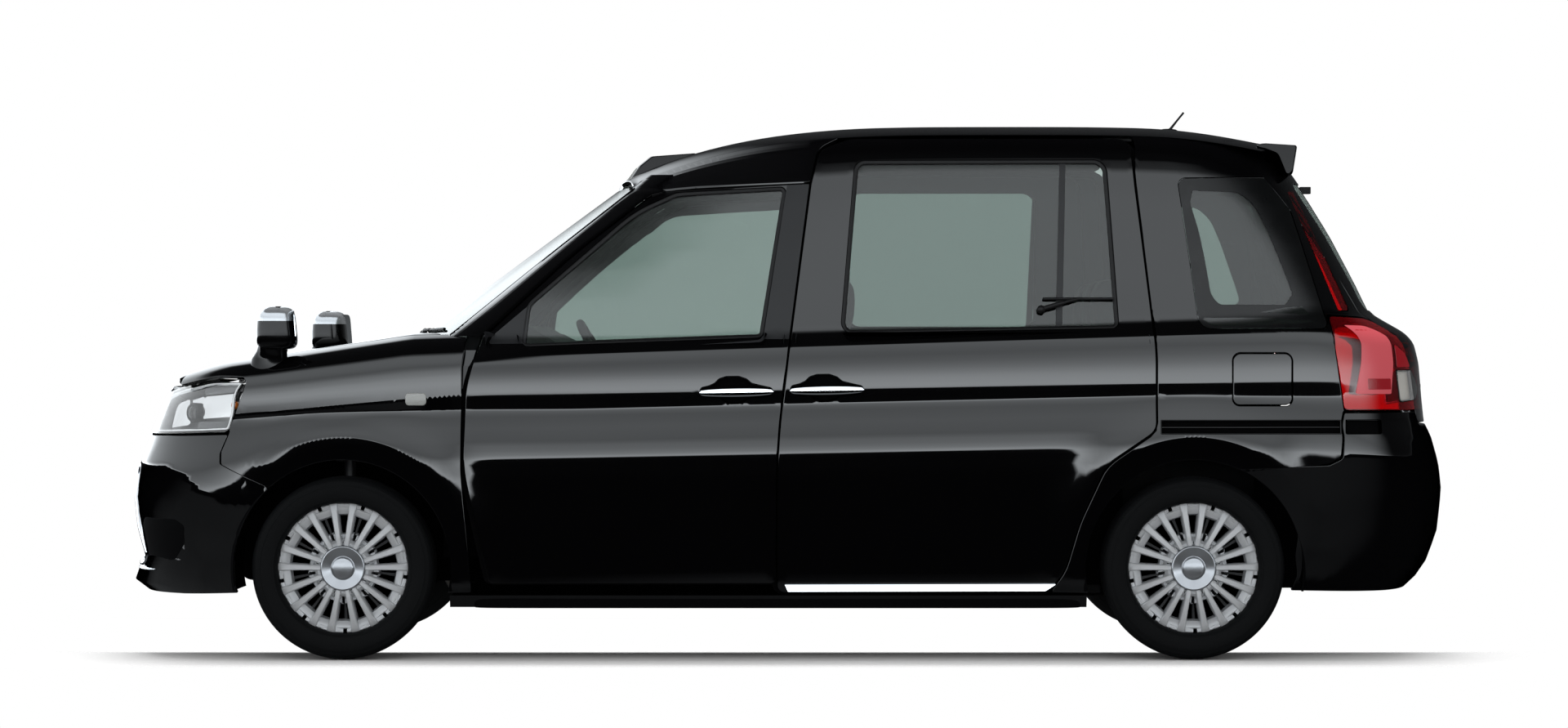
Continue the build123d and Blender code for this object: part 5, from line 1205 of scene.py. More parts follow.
# upright behind the front window, matt film; the two bars that split the rear windows
upright_rows = [(B_X - 0.043, 1.036, 0.003), (B_X + 0.041, 1.036, 0.003), (B_X + 0.107, DOOR_TOP - 0.006,
    0.003), (B_X + 0.035, DOOR_TOP - 0.009, 0.003)]
upright = patch(side_surface, upright_rows)
bar_rows = [(0.868, 1.06, 0.002), (0.89, 1.06, 0.002), (0.909, 1.612, 0.002), (0.889, 1.612, 0.002)]
bar = patch(side_surface, bar_rows, lift=-0.003, depth=0.003)
sail_rows = [(-0.845, 1.022, 0.003), (-0.832, 1.15, 0.003), (-0.955, 1.046, 0.006), (-0.967, 1.02, 0.006)]
sail = patch(side_surface, sail_rows)
for door_name, parts in (("front_door", (upright, sail)), ("rear", (bar,))):
    names = ("front_door_left", "front_door_right") if door_name == "front_door" else ("sliding_door",
        "rear_door_right")
    piece(names[0] + "_trim", joined(*parts), PLASTIC, BODY_OF[names[0]])
    piece(names[1] + "_trim", mirrored(joined(*parts)), PLASTIC, BODY_OF[names[1]])
# the right rear door's inner window frame leaves a smaller opening
inner_rows = [(0.228, 1.085, 0.04), (0.228, 1.573, 0.04), (0.893, 1.573, 0.05), (0.893, 1.085, 0.04)]
inner_frame = skin(side_surface, grown(corners(REAR_WINDOW), 0.014), [corners(inner_rows)], lift=-0.022,
    depth=0.02, roll=0.006, back=0.0)
inner_inside = skin(side_surface, grown(corners(REAR_WINDOW), 0.014), [corners(inner_rows)], lift=-0.044,
    depth=0.02, roll=0.006, way=-1)
piece("rear_window_frame_right", mirrored(joined(inner_frame, inner_inside)), CARD, "rear_door_right")
quarter_clear = [(1.3217, 1.52, 0.03), (1.508, 1.514, 0.06), (1.6404, 1.182, 0.02), (1.614, 1.148, 0.015),
    (1.399, 1.148, 0.03), (1.372, 1.182, 0.06), (1.311, 1.483, 0.06)]
quarter_frit = skin(tail_surface, grown(quarter_hole, -0.001),
    [corners(on_ring(tail_surface, quarter_clear))], lift=-0.0004, roll=0.0003, depth=0.0004)
panel("quarter_frit", both(quarter_frit), FRIT)


# ------------------------------------------------------------------ shut-line backs and wheel-arch liners
def jamb(surface, loop, width_in=0.014, width_out=0.03):
    """Dark ledge behind a shut line."""
    return skin(surface, grown(loop, width_out), [grown(loop, -width_in)], seeds=even_seeds(0.05, 0.05),
        lift=-0.022, roll=0.002, depth=0.02)


front_jamb = jamb(side_surface, corners(FRONT_DOOR), 0.014, 0.012)
left_jambs = joined(front_jamb, jamb(side_surface, corners(SLIDING_DOOR), 0.014, 0.016))
right_jambs = mirrored(joined(front_jamb, jamb(side_surface, corners(REAR_DOOR), 0.014, 0.016)))
panel("door_jambs", joined(left_jambs, right_jambs), CHANNEL)


def liner(axle, low, high):
    """Half barrel over a wheel, from the skin inwards."""
    spin = np.radians(np.linspace(low, high, 60))
    across = np.array([-0.825, -0.81, -0.7, -0.58, -0.49])
    radius = np.array([0.352, 0.362, 0.368, 0.368, 0.362])
    points = np.stack([axle + radius[None, :] * np.cos(spin)[:, None], across[None, :] + 0 * spin[:, None],
        HUB_Z + radius[None, :] * np.sin(spin)[:, None]], axis=-1)
    points[..., 2] = np.maximum(points[..., 2], 0.2)
    return grid_part(points)


shields = joined(slab((FRONT_AXLE - 0.372, -0.47, 0.236), (FRONT_AXLE + 0.372, -0.462, 0.66)),
    slab((REAR_AXLE + 0.215, -0.632, 0.222), (REAR_AXLE + 0.37, -0.62, 0.6)),
    slab((REAR_AXLE - 0.37, -0.632, 0.2), (REAR_AXLE - 0.215, -0.62, 0.6)))
panel("splash_shields", both(shields), CHANNEL)
panel("arch_liners", both(joined(liner(FRONT_AXLE, -12, 192), liner(REAR_AXLE, -12, 192))), CHANNEL)

# ------------------------------------------------------------------ wheels and tyres
COVER_R = 0.2105
FACE = HALF_TRACK + 0.058


def spoke_columns():
    """Columns across one spoke and half of each gap beside it: kind and place across."""
    return [("gap", 0.0), ("gap", 0.5), ("spoke", -1.25), ("spoke", -1.0), ("spoke", -0.72), ("spoke", 0.0),
        ("spoke", 0.72), ("spoke", 1.0), ("spoke", 1.25), ("wide", 0.5), ("wide", 1.0)]


def cover_face():
    """Wheel cover: nine pairs of spokes between an outer ring and a domed centre."""
    radii = np.array([0.0725, 0.078, 0.088, 0.0985, 0.1, 0.103, 0.115, 0.119, 0.13, 0.145, 0.16, 0.172,
        0.1785, 0.1815, 0.184, 0.19, 0.196, 0.202, 0.207, 0.21, COVER_R])
    pair, lean = math.radians(40), math.radians(8.9)
    columns = []
    for k in range(9):
        for mirror in (1, -1):
            rows = spoke_columns() if mirror == 1 else spoke_columns()[::-1][1:-1]
            columns += [(k * pair + math.pi / 2, mirror, kind, share) for kind, share in rows]
    points = np.zeros((len(radii), len(columns), 3))
    window = np.zeros((len(radii), len(columns)), bool)
    for j, (base, mirror, kind, share) in enumerate(columns):
        half = np.interp(radii, [0.07, 0.1, 0.19, 0.211], [0.007, 0.0082, 0.011, 0.0116]) / radii
        if kind == "spoke":
            angle = lean + share * half
        elif kind == "gap":
            angle = (lean - 1.25 * half) * share * 2 * 0.5 if share else 0 * half
        else:
            edge = lean + 1.25 * half
            angle = edge + (pair / 2 - edge) * (0.5 if share == 0.5 else 1.0)
        top = np.interp(radii, [0.0725, 0.1, 0.15, 0.19, 0.204, 0.21, COVER_R], [0.012, 0.013, 0.01, 0.005,
            0.002, 0.0, -0.005])
        ring_low = np.interp(radii, [0.0725, 0.098, 0.099, 0.102, 0.18, 0.1835, 0.19, 0.202, 0.208, COVER_R],
            [-0.004, -0.008, -0.01, -0.042, -0.042, -0.012, -0.008, -0.002, -0.0015, -0.006])
        if kind == "wide":
            ring_low = np.where((radii > 0.074) & (radii < 0.117), -0.013, ring_low)
        tab = (kind == "gap") & (radii > 0.074) & (radii < 0.0985)
        ring_low = np.where(tab, 0.004, ring_low)
        if kind == "spoke":
            blend = {0.0: 1.0, 0.72: 0.99, 1.0: 0.9, 1.25: 0.0}[abs(share)]
            rise = ring_low + (top - ring_low) * blend
            if abs(share) == 0.72:
                rise = rise + 0.0006
        else:
            rise = ring_low
        window[:, j] = (kind != "spoke") & (radii > (0.117 if kind == "wide" else 0.101)) & (radii < 0.1805)
        spin = base + mirror * angle
        points[:, j] = np.stack([radii * np.cos(spin), -(FACE + rise), radii * np.sin(spin)], axis=-1)
    part = grid_part(points, closed=True)
    count = len(columns)
    dark = [f for f in part[1] if all(window.reshape(-1)[i] for i in f)]
    rest = [f for f in part[1] if not all(window.reshape(-1)[i] for i in f)]
    return [part[0], rest, None], [part[0], dark, None]


def turned(rows, segments):
    """Body turned about the axle: rows of radius and outward place from the wheel's middle plane."""
    spin = np.linspace(0, 2 * math.pi, segments, False)
    rows = np.array(rows)
    points = np.stack([rows[:, None, 0] * np.cos(spin), -(rows[:, None, 1] + 0 * spin),
        rows[:, None, 0] * np.sin(spin)], axis=-1)
    return grid_part(points, closed=True)


def soft(part, angle=28):
    return [part[0], part[1], math.radians(angle)]


TYRE_ROWS = [(0.2102, 0.04), (0.2104, 0.0635), (0.2118, 0.07), (0.2145, 0.077), (0.2175, 0.0832),
    (0.221, 0.0862), (0.2215, 0.0872), (0.2245, 0.088), (0.225, 0.0872), (0.238, 0.0905), (0.252, 0.0915),
    (0.264, 0.09), (0.2645, 0.0908), (0.2675, 0.0902), (0.268, 0.0886), (0.276, 0.0855), (0.28, 0.0842),
    (0.2803, 0.0828), (0.285, 0.0795), (0.2895, 0.0735), (0.2925, 0.066), (0.2945, 0.056)]
TYRE_ROWS += [(0.295, 0.044), (0.288, 0.0425), (0.288, 0.0365), (0.2957, 0.035), (0.2959, 0.016),
    (0.2885, 0.015), (0.2885, 0.007), (0.296, 0.006)]
TYRE_ROWS += [(r, -w) for r, w in reversed(TYRE_ROWS)]
dome_rows = [(0.0742, -0.012), (0.0738, 0.01), (0.0722, 0.016), (0.069, 0.0182), (0.0668, 0.0178),
    (0.04, 0.0085), (0.0372, 0.0082), (0.036, 0.0105), (0.0345, 0.014), (0.0305, 0.0163), (0.018, 0.0184),
    (0.008, 0.0192), (0.0006, 0.0194)]
dome = turned([(r, FACE + w) for r, w in dome_rows], 90)
edge_rows = [(0.211, -0.012), (0.212, -0.03), (0.19, -0.06), (0.1, -0.07), (0.01, -0.07)]
dish = turned([(r, FACE + w) for r, w in edge_rows], 60)
face_part, window_part = cover_face()
tyre_part = turned([(r, HALF_TRACK + w) for r, w in TYRE_ROWS], 144)


def placed_wheel(part, axle, right):
    shift = np.array([axle, 0, HUB_Z])
    points = part[0] + shift
    if not right:
        return [points, part[1], part[2]]
    flip = np.array([1, -1, 1])
    normals = part[2] * flip if isinstance(part[2], np.ndarray) else part[2]
    return [points * flip, [tuple(reversed(face)) for face in part[1]], normals]


for corner_name, axle, right in (("front_left", FRONT_AXLE, False), ("front_right", FRONT_AXLE, True),
        ("rear_left", REAR_AXLE, False), ("rear_right", REAR_AXLE, True)):
    body = BODY_OF["wheel_" + corner_name]
    piece("wheel_cover_" + corner_name, placed_wheel(soft(face_part, 24), axle, right), SILVER, body,
        stands_for=["wheel_" + corner_name], slot="wheel_silver")
    piece("wheel_centre_" + corner_name, placed_wheel(dome, axle, right), HUB, body, slot="wheel_silver")
    piece("wheel_windows_" + corner_name, placed_wheel(soft(window_part), axle, right), PLASTIC, body)
    piece("wheel_dish_" + corner_name, placed_wheel(dish, axle, right), STEEL, body)
    piece("tyre_shape_" + corner_name, placed_wheel(soft(tyre_part, 35), axle, right), RUBBER, body,
        stands_for=["tyre_" + corner_name], slot="tyre_rubber")

# ------------------------------------------------------------------ door handles
def pull_bar(start, centre_z, rise):
    """Chrome bar that bridges the pocket."""
    shares = np.linspace(0, 1, 40)
    spin = np.linspace(0, 2 * math.pi, 28, False)
    half_z = 0.0165 * np.clip(np.sin(math.pi * np.clip(shares, 0.0, 1.0)) ** 0.28, 0.02, 1)
    half_y = 0.0082 * np.clip(np.sin(math.pi * shares) ** 0.35, 0.02, 1)
    x = start - 0.002 + 0.24 * shares
    z = centre_z + rise * (x - start)
    out = HALF_W - 0.0112 + 0.0018 * np.sin(math.pi * shares)
    points = np.stack([x[:, None] + 0 * spin, -(out[:, None] + half_y[:, None] * np.sign(np.cos(spin))
        * np.abs(np.cos(spin)) ** 0.7), z[:, None] + half_z[:, None] * np.sign(np.sin(spin))
        * np.abs(np.sin(spin)) ** 0.8], axis=-1)
    return grid_part(points, closed=True)


for names, spec in ((("front_door_left", "front_door_right"), FRONT_HANDLE),
        (("sliding_door", "rear_door_right"), REAR_HANDLE)):
    pocket = floor_of(side_surface, corners(handle_rows(*spec), 0.004), 0.02)
    lock = blob((spec[0] + 0.112, -HALF_W + 0.0195, spec[1] - 0.003), (0.008, 0.006, 0.008))
    piece("pocket_" + names[0], joined(pocket, lock), CHANNEL, BODY_OF[names[0]])
    piece("pocket_" + names[1], mirrored(joined(pocket, lock)), CHANNEL, BODY_OF[names[1]])
    bar_part = pull_bar(*spec)
    piece("pull_" + names[0], bar_part, CHROME, BODY_OF[names[0]], slot="mirror_chrome")
    piece("pull_" + names[1], mirrored(bar_part), CHROME, BODY_OF[names[1]], slot="mirror_chrome")

# ------------------------------------------------------------------ front lamps' insides
def lamp_patch(rows, lift, roll=0.002, depth=0.006):
    return skin(nose_surface, corners(on_ring(nose_surface, rows), 0.005), seeds=even_seeds(0.015, 0.015),
        lift=lift, roll=roll, depth=depth, margin=0.004)


frame_line = bead(nose_surface, grown(headlamp_loop, -0.012), [(0.006, -0.014), (0.005, -0.008),
    (0.001, -0.006), (-0.003, -0.008), (-0.004, -0.016)])
fluted = lamp_patch([(-1.915, 0.862, 0.01), (-1.764, 0.868, 0.01), (-1.792, 0.784, 0.01),
    (-1.915, 0.78, 0.01)], -0.03)
front_bowl = lamp_patch([(-2.035, 0.838, 0.02), (-1.975, 0.858, 0.02), (-1.965, 0.765, 0.01),
    (-2.05, 0.755, 0.01)], -0.034)
front_wall = lamp_patch([(-1.972, 0.868, 0.01), (-1.915, 0.884, 0.01), (-1.915, 0.8, 0.01),
    (-1.972, 0.815, 0.01)], -0.04)
chrome_bits = joined(frame_line, fluted, front_bowl, front_wall)
piece("headlamp_reflectors", both(chrome_bits), REFLECTOR, slot="mirror_chrome")
top_shelf = lamp_patch([(-1.905, 0.893, 0.004), (-1.76, 0.897, 0.006), (-1.768, 0.87, 0.004),
    (-1.905, 0.864, 0.004)], -0.022)
low_shelf = lamp_patch([(-1.926, 0.773, 0.004), (-1.8, 0.772, 0.004), (-1.812, 0.745, 0.004),
    (-1.93, 0.741, 0.004)], -0.024)
piece("headlamp_shelves", both(joined(top_shelf, low_shelf)), BEZEL)
projector_spot = nose_surface(*[np.array([v]) for v in on_ring(nose_surface, [(-1.943, 0.796, 0)])[0][:2]])[0]
barrel = tube([projector_spot + np.array([0.05, 0.055, 0]), projector_spot + np.array([0.01, 0.02, 0]),
    projector_spot + np.array([0.006, 0.016, 0])], [0.03, 0.033, 0.028], 32)
piece("headlamp_projector", both(barrel), GLOSS_BLACK)
eye = blob(projector_spot + np.array([0.014, 0.024, 0]), (0.02, 0.018, 0.026), (1, 1))
piece("headlamp_eye", both(eye), LENS)
bulb_spot = nose_surface(*[np.array([v]) for v in on_ring(nose_surface, [(-1.788, 0.822, 0)])[0][:2]])[0]
bulb = blob(bulb_spot + np.array([0.0, 0.024, 0]), (0.012, 0.012, 0.014), (1, 1), sides=24, rows=14)
piece("indicator_bulb", both(bulb), AMBER)

# ------------------------------------------------------------------ tail lamps' insides
def tail_patch(rows, lift, roll=0.0015, depth=0.004):
    return skin(tail_surface, corners(on_ring(tail_surface, rows), 0.005), seeds=even_seeds(0.02, 0.02),
        lift=lift, roll=roll, depth=depth, margin=0.005)


stop_rows = [(1.806, 1.082, 0.004), (1.88, 1.08, 0.05), (1.952, 1.046, 0.01), (1.964, 0.858, 0.006),
    (1.838, 0.858, 0.006)]
stop_panel = tail_patch(stop_rows, 0.0008, 0.001, 0.003)
piece("stop_lamp_panels", both(stop_panel), STOP_PANEL, slot="red_lens")
cluster_rows = [(1.978, 1.02, 0.006), (2.02, 0.99, 0.006), (2.04, 0.945, 0.006), (1.985, 0.945, 0.006)]
dark_rows = [(1.88, 0.908, 0.003), (1.961, 0.908, 0.003), (1.963, 0.873, 0.003), (1.882, 0.873, 0.003)]
dark_red = joined(tail_patch(cluster_rows, 0.0008, 0.001, 0.003), tail_patch(dark_rows, 0.0018, 0.001, 0.003))
piece("tail_lamp_cluster", both(dark_red), DARK_RED, slot="red_lens")
reverse_back = skin(tail_surface, grown(reverse_loop, -0.003), seeds=even_seeds(0.02, 0.008), lift=-0.014,
    depth=-0.01, roll=0.002)
piece("reversing_reflector", both(reverse_back), FLUTED)
reverse_lens = skin(tail_surface, grown(reverse_loop, -0.0005), seeds=even_seeds(0.02, 0.02), back=0.003,
    roll=0.0015, lift=0.0008)
piece("reversing_lens", both(reverse_lens), LENS, slot="clear_lens")

# ------------------------------------------------------------------ mirrors on the wings
def mirror_head(low, high):
    """Head of a wing mirror between two heights of its rounded shape, leaning back at the front."""
    part = blob((-1.655, -0.757, 1.072), (0.062, 0.085, 0.07), (0.55, 0.42), low, high, sides=64, rows=24)
    return moved(part, lambda p: p + np.stack([0.02 * np.clip((p[:, 2] - 1.09) / 0.05, 0,
        1) * (p[:, 0] < -1.655) - 0.1 * (p[:, 2] - 1.072) * (p[:, 0] > -1.655), 0 * p[:, 0], 0 * p[:, 0]],
        axis=-1))


cap, shell_low = mirror_head(4, 90), mirror_head(-90, 4)
foot_rows = [(0.935, -1.682, -0.735, 0.064, 0.05), (0.972, -1.68, -0.738, 0.058, 0.045),
    (0.995, -1.672, -0.744, 0.05, 0.042), (1.02, -1.664, -0.752, 0.05, 0.05)]
spin = np.linspace(0, 2 * math.pi, 48, False)
foot = grid_part(np.array([[(x + a * np.cos(t), y + b * np.sin(t), z) for t in spin] for z, x, y, a,
    b in foot_rows]), closed=True)
glass_face = blob((-1.5975, -0.757, 1.072), (0.003, 0.074, 0.058), (0.35, 0.35), sides=48, rows=16)
glass_face = moved(glass_face, lambda p: np.stack([p[:, 0] - (p[:, 2] - 1.072) * 0.08 - (p[:, 1] + 0.757)
    * 0.16, p[:, 1], p[:, 2]], axis=-1))
panel("mirror_caps", both(cap), SATIN, slot="mirror_chrome")
panel("mirrors", both(joined(shell_low, foot)), GLOSS_BLACK, stands_for=["mirrors"], slot="gloss_black")
panel("mirror_glasses", both(glass_face), MIRROR, slot="mirror_chrome")

# ------------------------------------------------------------------ trim along the side
marker_rows = [(-1.231, 0.862, 0.012), (-1.163, 0.862, 0.012), (-1.163, 0.822, 0.012), (-1.231, 0.822, 0.012)]
marker = skin(side_surface, corners(marker_rows, 0.004), seeds=even_seeds(0.01, 0.01), lift=0.0035,
    roll=0.003, depth=0.006, margin=0.003)
panel("side_markers", both(marker), MARKER)
garnish_rows = [(-0.009, 0.247, 0.004), (0.878, 0.249, 0.004), (0.836, 0.221, 0.012), (0.002, 0.219, 0.006)]
garnish = skin(side_surface, corners(garnish_rows, 0.006), seeds=even_seeds(0.03, 0.006), lift=0.003,
    roll=0.003, depth=0.004, margin=0.003)
garnish = shaded(garnish, lambda p: np.full(len(p), 0.5))
piece("sill_garnish", garnish, CHROME, BODY_OF["sliding_door"], slot="mirror_chrome")
rail_floor = joined(floor_of(tail_surface, rail_loop, 0.014), floor_of(tail_surface, rail_end_loop, 0.014))
rail_bar = skin(tail_surface, side_loop(tail_surface, [(C_X + 0.014, 0.7545, 0.001), (1.786, 0.7545, 0.001),
    (1.786, 0.7505, 0.001), (C_X + 0.014, 0.7505, 0.001)], 0.01), seeds=even_seeds(0.05, 0.002), lift=-0.006,
    depth=0.006, roll=0.001)
panel("rail_slot_floor", rail_floor, CHANNEL)
panel("rail_slot_bar", rail_bar, GLOSS_BLACK)
rail_lip = bead(tail_surface, rail_loop, [(0.003, -0.001), (0.002, 0.0012), (-0.001, 0.0014),
    (-0.002, -0.001)])
panel("rail_slot_lip", rail_lip, GLOSS_BLACK)
step = slab((-1.012, -0.8, 0.166), (0.951, -0.7, 0.198))
panel("under_steps", both(step), CHANNEL)

# ------------------------------------------------------------------ chin, fog recesses, grilles and nose header
def nose_patch(rows, **more):
    return skin(nose_surface, corners(on_ring(nose_surface, rows), 0.006), seeds=even_seeds(0.02, 0.01),
        margin=0.004, **more)


chin_rows = [(0.0, 0.312, 0.0, "end"), (0.4, 0.312, 0.1, "end"), (-2.085, 0.315, 0.05),
    (-2.0232, 0.3225, 0.02), (-1.9916, 0.3488, 0.02), (-1.968, 0.392, 0.02), (-1.953, 0.402, 0.006),
    (-1.9495, 0.34, 0.012), (-1.997, 0.2935, 0.03), (-2.076, 0.28, 0.05), (0.4, 0.275, 0.1, "end"),
    (0.0, 0.275, 0.0, "end")]
chin = nose_patch(chin_rows, lift=0.0, roll=0.004, depth=0.004)
panel("chin_blades", both(chin), SATIN, slot="mirror_chrome")
fog_field = nose_patch([(0.6, 0.455, 0.03, "end"), (-1.985, 0.452, 0.03), (-1.952, 0.43, 0.015),
    (-1.952, 0.372, 0.015), (-1.99, 0.318, 0.03), (0.585, 0.3, 0.03, "end")], lift=0.0012, roll=0.003,
    depth=0.004)
panel("fog_fields", both(fog_field), CHANNEL)
mesh_floor = nose_patch([(0.0, 0.615, 0.0, "end"), (0.47, 0.615, 0.03, "end"), (0.56, 0.295, 0.03, "end"),
    (0.0, 0.295, 0.0, "end")], lift=-0.03, roll=0.004, depth=-0.02)
panel("lower_grille_mesh", both(mesh_floor), MESH_BLACK, stands_for=["grilles"], slot="black_plastic")
surround_loop = corners(on_ring(nose_surface, [(0.0, 0.611, 0.0, "end"), (0.464, 0.611, 0.03, "end"),
    (0.554, 0.299, 0.03, "end"), (0.0, 0.299, 0.0, "end")]))
band_part = surround_loop[np.abs(nose_surface(surround_loop[:, 0], surround_loop[:, 1])[:, 1]) > 1e-3]
start = int(np.argmax(np.linalg.norm(np.diff(np.concatenate([band_part, band_part[:1]]), axis=0),
    axis=1))) + 1
band_part = np.roll(band_part, -start, axis=0)
surround = bead(nose_surface, band_part, [(0.01, -0.004), (0.009, 0.003), (0.003, 0.005), (-0.006, 0.001),
    (-0.008, -0.012)], closed=False)
panel("grille_surround", both(surround), CHROME, slot="mirror_chrome")
upper_field = nose_patch([(0.0, 0.862, 0.0, "end"), (0.446, 0.856, 0.01, "end"), (0.446, 0.766, 0.01, "end"),
    (0.0, 0.766, 0.0, "end")], lift=-0.01, roll=0.003, depth=-0.004)
panel("upper_grille", both(upper_field), MESH_BLACK, stands_for=["grille_panel"], slot="gloss_black")
upper_bar = nose_patch([(0.0, 0.842, 0.0, "end"), (0.44, 0.836, 0.006, "end"), (0.44, 0.812, 0.006, "end"),
    (0.0, 0.812, 0.0, "end")], lift=-0.001, roll=0.004, depth=0.006)
panel("upper_grille_bar", both(upper_bar), CHROME, slot="mirror_chrome")
header = nose_patch([(0.0, 0.8825, 0.0, "end"), (0.3, 0.8815, 0.2, "end"), (0.462, 0.874, 0.01, "end"),
    (0.452, 0.864, 0.01, "end"), (0.0, 0.866, 0.0, "end")], roll=0.002)
panel("nose_header", both(header), PAINT)

# ------------------------------------------------------------------ fittings on the roof and tailgate
def extruded(outline, half, taper):
    """Side-view outline (x, z) carried across the car, rounded in at both ends."""
    loop = corners([(x, z, r) for x, z, r in outline], 0.01)
    centre = loop.mean(axis=0)
    shares = [(-1.0, 0.9), (-0.985, 0.96), (-0.96, 0.99), (-0.9, 1.0), (0.9, 1.0), (0.96, 0.99),
        (0.985, 0.96), (1.0, 0.9)]
    rows = []
    for share, size in shares:
        ring_points = centre + (loop - centre) * size
        bow = taper * share * share
        rows.append(np.stack([ring_points[:, 0] + bow, 0 * ring_points[:, 0] + share * half,
            ring_points[:, 1]], axis=-1))
    points = np.array(rows)
    part = grid_part(points, closed=True)
    caps = [tuple(range(len(loop))), tuple((len(shares) - 1) * len(loop) + k for k in range(len(loop)))[::-1]]
    return [part[0], part[1] + caps, math.radians(40)]


def oriented(part):
    """Faces turned outwards on a closed shape."""
    mesh = bpy.data.meshes.new("turning")
    mesh.from_pydata([tuple(p) for p in part[0]], [], part[1])
    bm = bmesh.new()
    bm.from_mesh(mesh)
    bmesh.ops.recalc_face_normals(bm, faces=bm.faces)
    faces = [tuple(v.index for v in face.verts) for face in bm.faces]
    bm.free()
    bpy.data.meshes.remove(mesh)
    return [part[0], faces, part[2]]


spoiler_rows = [(1.56, 1.676, 0.02), (1.602, 1.683, 0.05), (1.712, 1.676, 0.008), (1.697, 1.582, 0.02),
    (1.68, 1.572, 0.02), (1.648, 1.65, 0.03), (1.6, 1.668, 0.02)]
spoiler = oriented(extruded(spoiler_rows, 0.56, -0.03))
piece("tailgate_spoiler", spoiler, GLOSS_BLACK, "tailgate", slot="black_paint")
lamp_rows = [(-0.571, 1.545, 0.004), (-0.52, 1.62, 0.02), (-0.479, 1.653, 0.02), (-0.33, 1.664, 0.01),
    (-0.318, 1.655, 0.01), (-0.45, 1.6, 0.02)]
roof_box = oriented(extruded(lamp_rows, 0.27, 0.025))
panel("roof_light", roof_box, GLOSS_BLACK, stands_for=["roof_light"], slot="wheel_silver")
face_rows = [(-0.5745, 1.556, 0.004), (-0.5275, 1.619, 0.004), (-0.521, 1.615, 0.004), (-0.568, 1.552, 0.004)]
roof_face = oriented(extruded(face_rows, 0.235, 0.022))
panel("roof_light_face", roof_face, LAMP_FACE, slot="clear_lens")
antenna_foot = blob((1.309, 0.0, 1.748), (0.035, 0.014, 0.012), (1, 0.8))
rod = tube([(1.309, 0, 1.75), (1.318, 0, 1.76), (1.34, 0, 1.788), (1.36, 0, 1.8125)], [0.0075, 0.0045, 0.0035,
    0.0035], 16)
knob = blob((1.3605, 0, 1.813), (0.004, 0.004, 0.004), (1, 1), sides=16, rows=10)
panel("antenna", joined(antenna_foot, rod, knob), SEAL, stands_for=["antenna"], slot="black_plastic")
stop_pod = slab((1.76, -0.018, 1.536), (1.797, 0.018, 1.56))
piece("gate_glass_catch", stop_pod, SEAL, "tailgate")
gate_handle = slab((2.05, -0.3, 0.838), (2.132, 0.3, 0.89))
piece("gate_garnish", gate_handle, GLOSS_BLACK, "tailgate", slot="gloss_black")


def wiper(surface, blade, pivot, stand_off=0.012):
    """Blade along a straight line on the glass, with its arm from the pivot to its middle."""
    def lifted(a, z, rise):
        a, z = np.atleast_1d(a), np.atleast_1d(z)
        return surface(a, z) + facing(surface, a, z) * np.reshape(rise, (-1, 1))
    way = 1 if surface is tail_surface else -1
    shares = np.linspace(0, 1, 14)
    (a0, z0), (a1, z1) = blade
    rubber = lifted(a0 + (a1 - a0) * shares, z0 + (z1 - z0) * shares, way * stand_off * 0.7)
    mid_a, mid_z = (a0 + a1) / 2, (z0 + z1) / 2
    rise = way * (stand_off + 0.005 * np.sin(shares * math.pi))
    arm = lifted(pivot[0] + (mid_a - pivot[0]) * shares, pivot[1] + (mid_z - pivot[1]) * shares, rise)
    cap = blob(tuple(arm[0]), (0.014, 0.014, 0.014), (1, 1), sides=20, rows=12)
    return joined(tube([tuple(p) for p in rubber], [0.005] * 14, 10), tube([tuple(p) for p in arm],
        [0.008] * 8 + [0.005] * 6, 12), cap)


sweeps = joined(wiper(screen_surface, [(-0.6, 1.066), (-0.02, 1.062)], (-0.1, 1.05), 0.007),
    wiper(screen_surface, [(0.04, 1.068), (0.62, 1.066)], (0.58, 1.05), 0.007))
panel("windscreen_wipers", sweeps, SEAL, slot="black_plastic")
piece("tailgate_wiper", wiper(tail_surface, [(0.04, 1.165), (0.36, 1.165)], (0.03, 1.13), 0.01), SEAL,
    "tailgate", slot="black_plastic")
piece("high_stop_lamp", slab((1.69, -0.1, 1.628), (1.716, 0.1, 1.646)), RED_LENS, "tailgate", slot="red_lens")


# ------------------------------------------------------------------ seats
PAD_VOXEL = 0.016
PAD_SWELL = 0.01
PAD_STEPS = 12
PAD_RINGS = 25
SEAM_DEPTH = 0.006
SEAM_WIDTH = 0.007


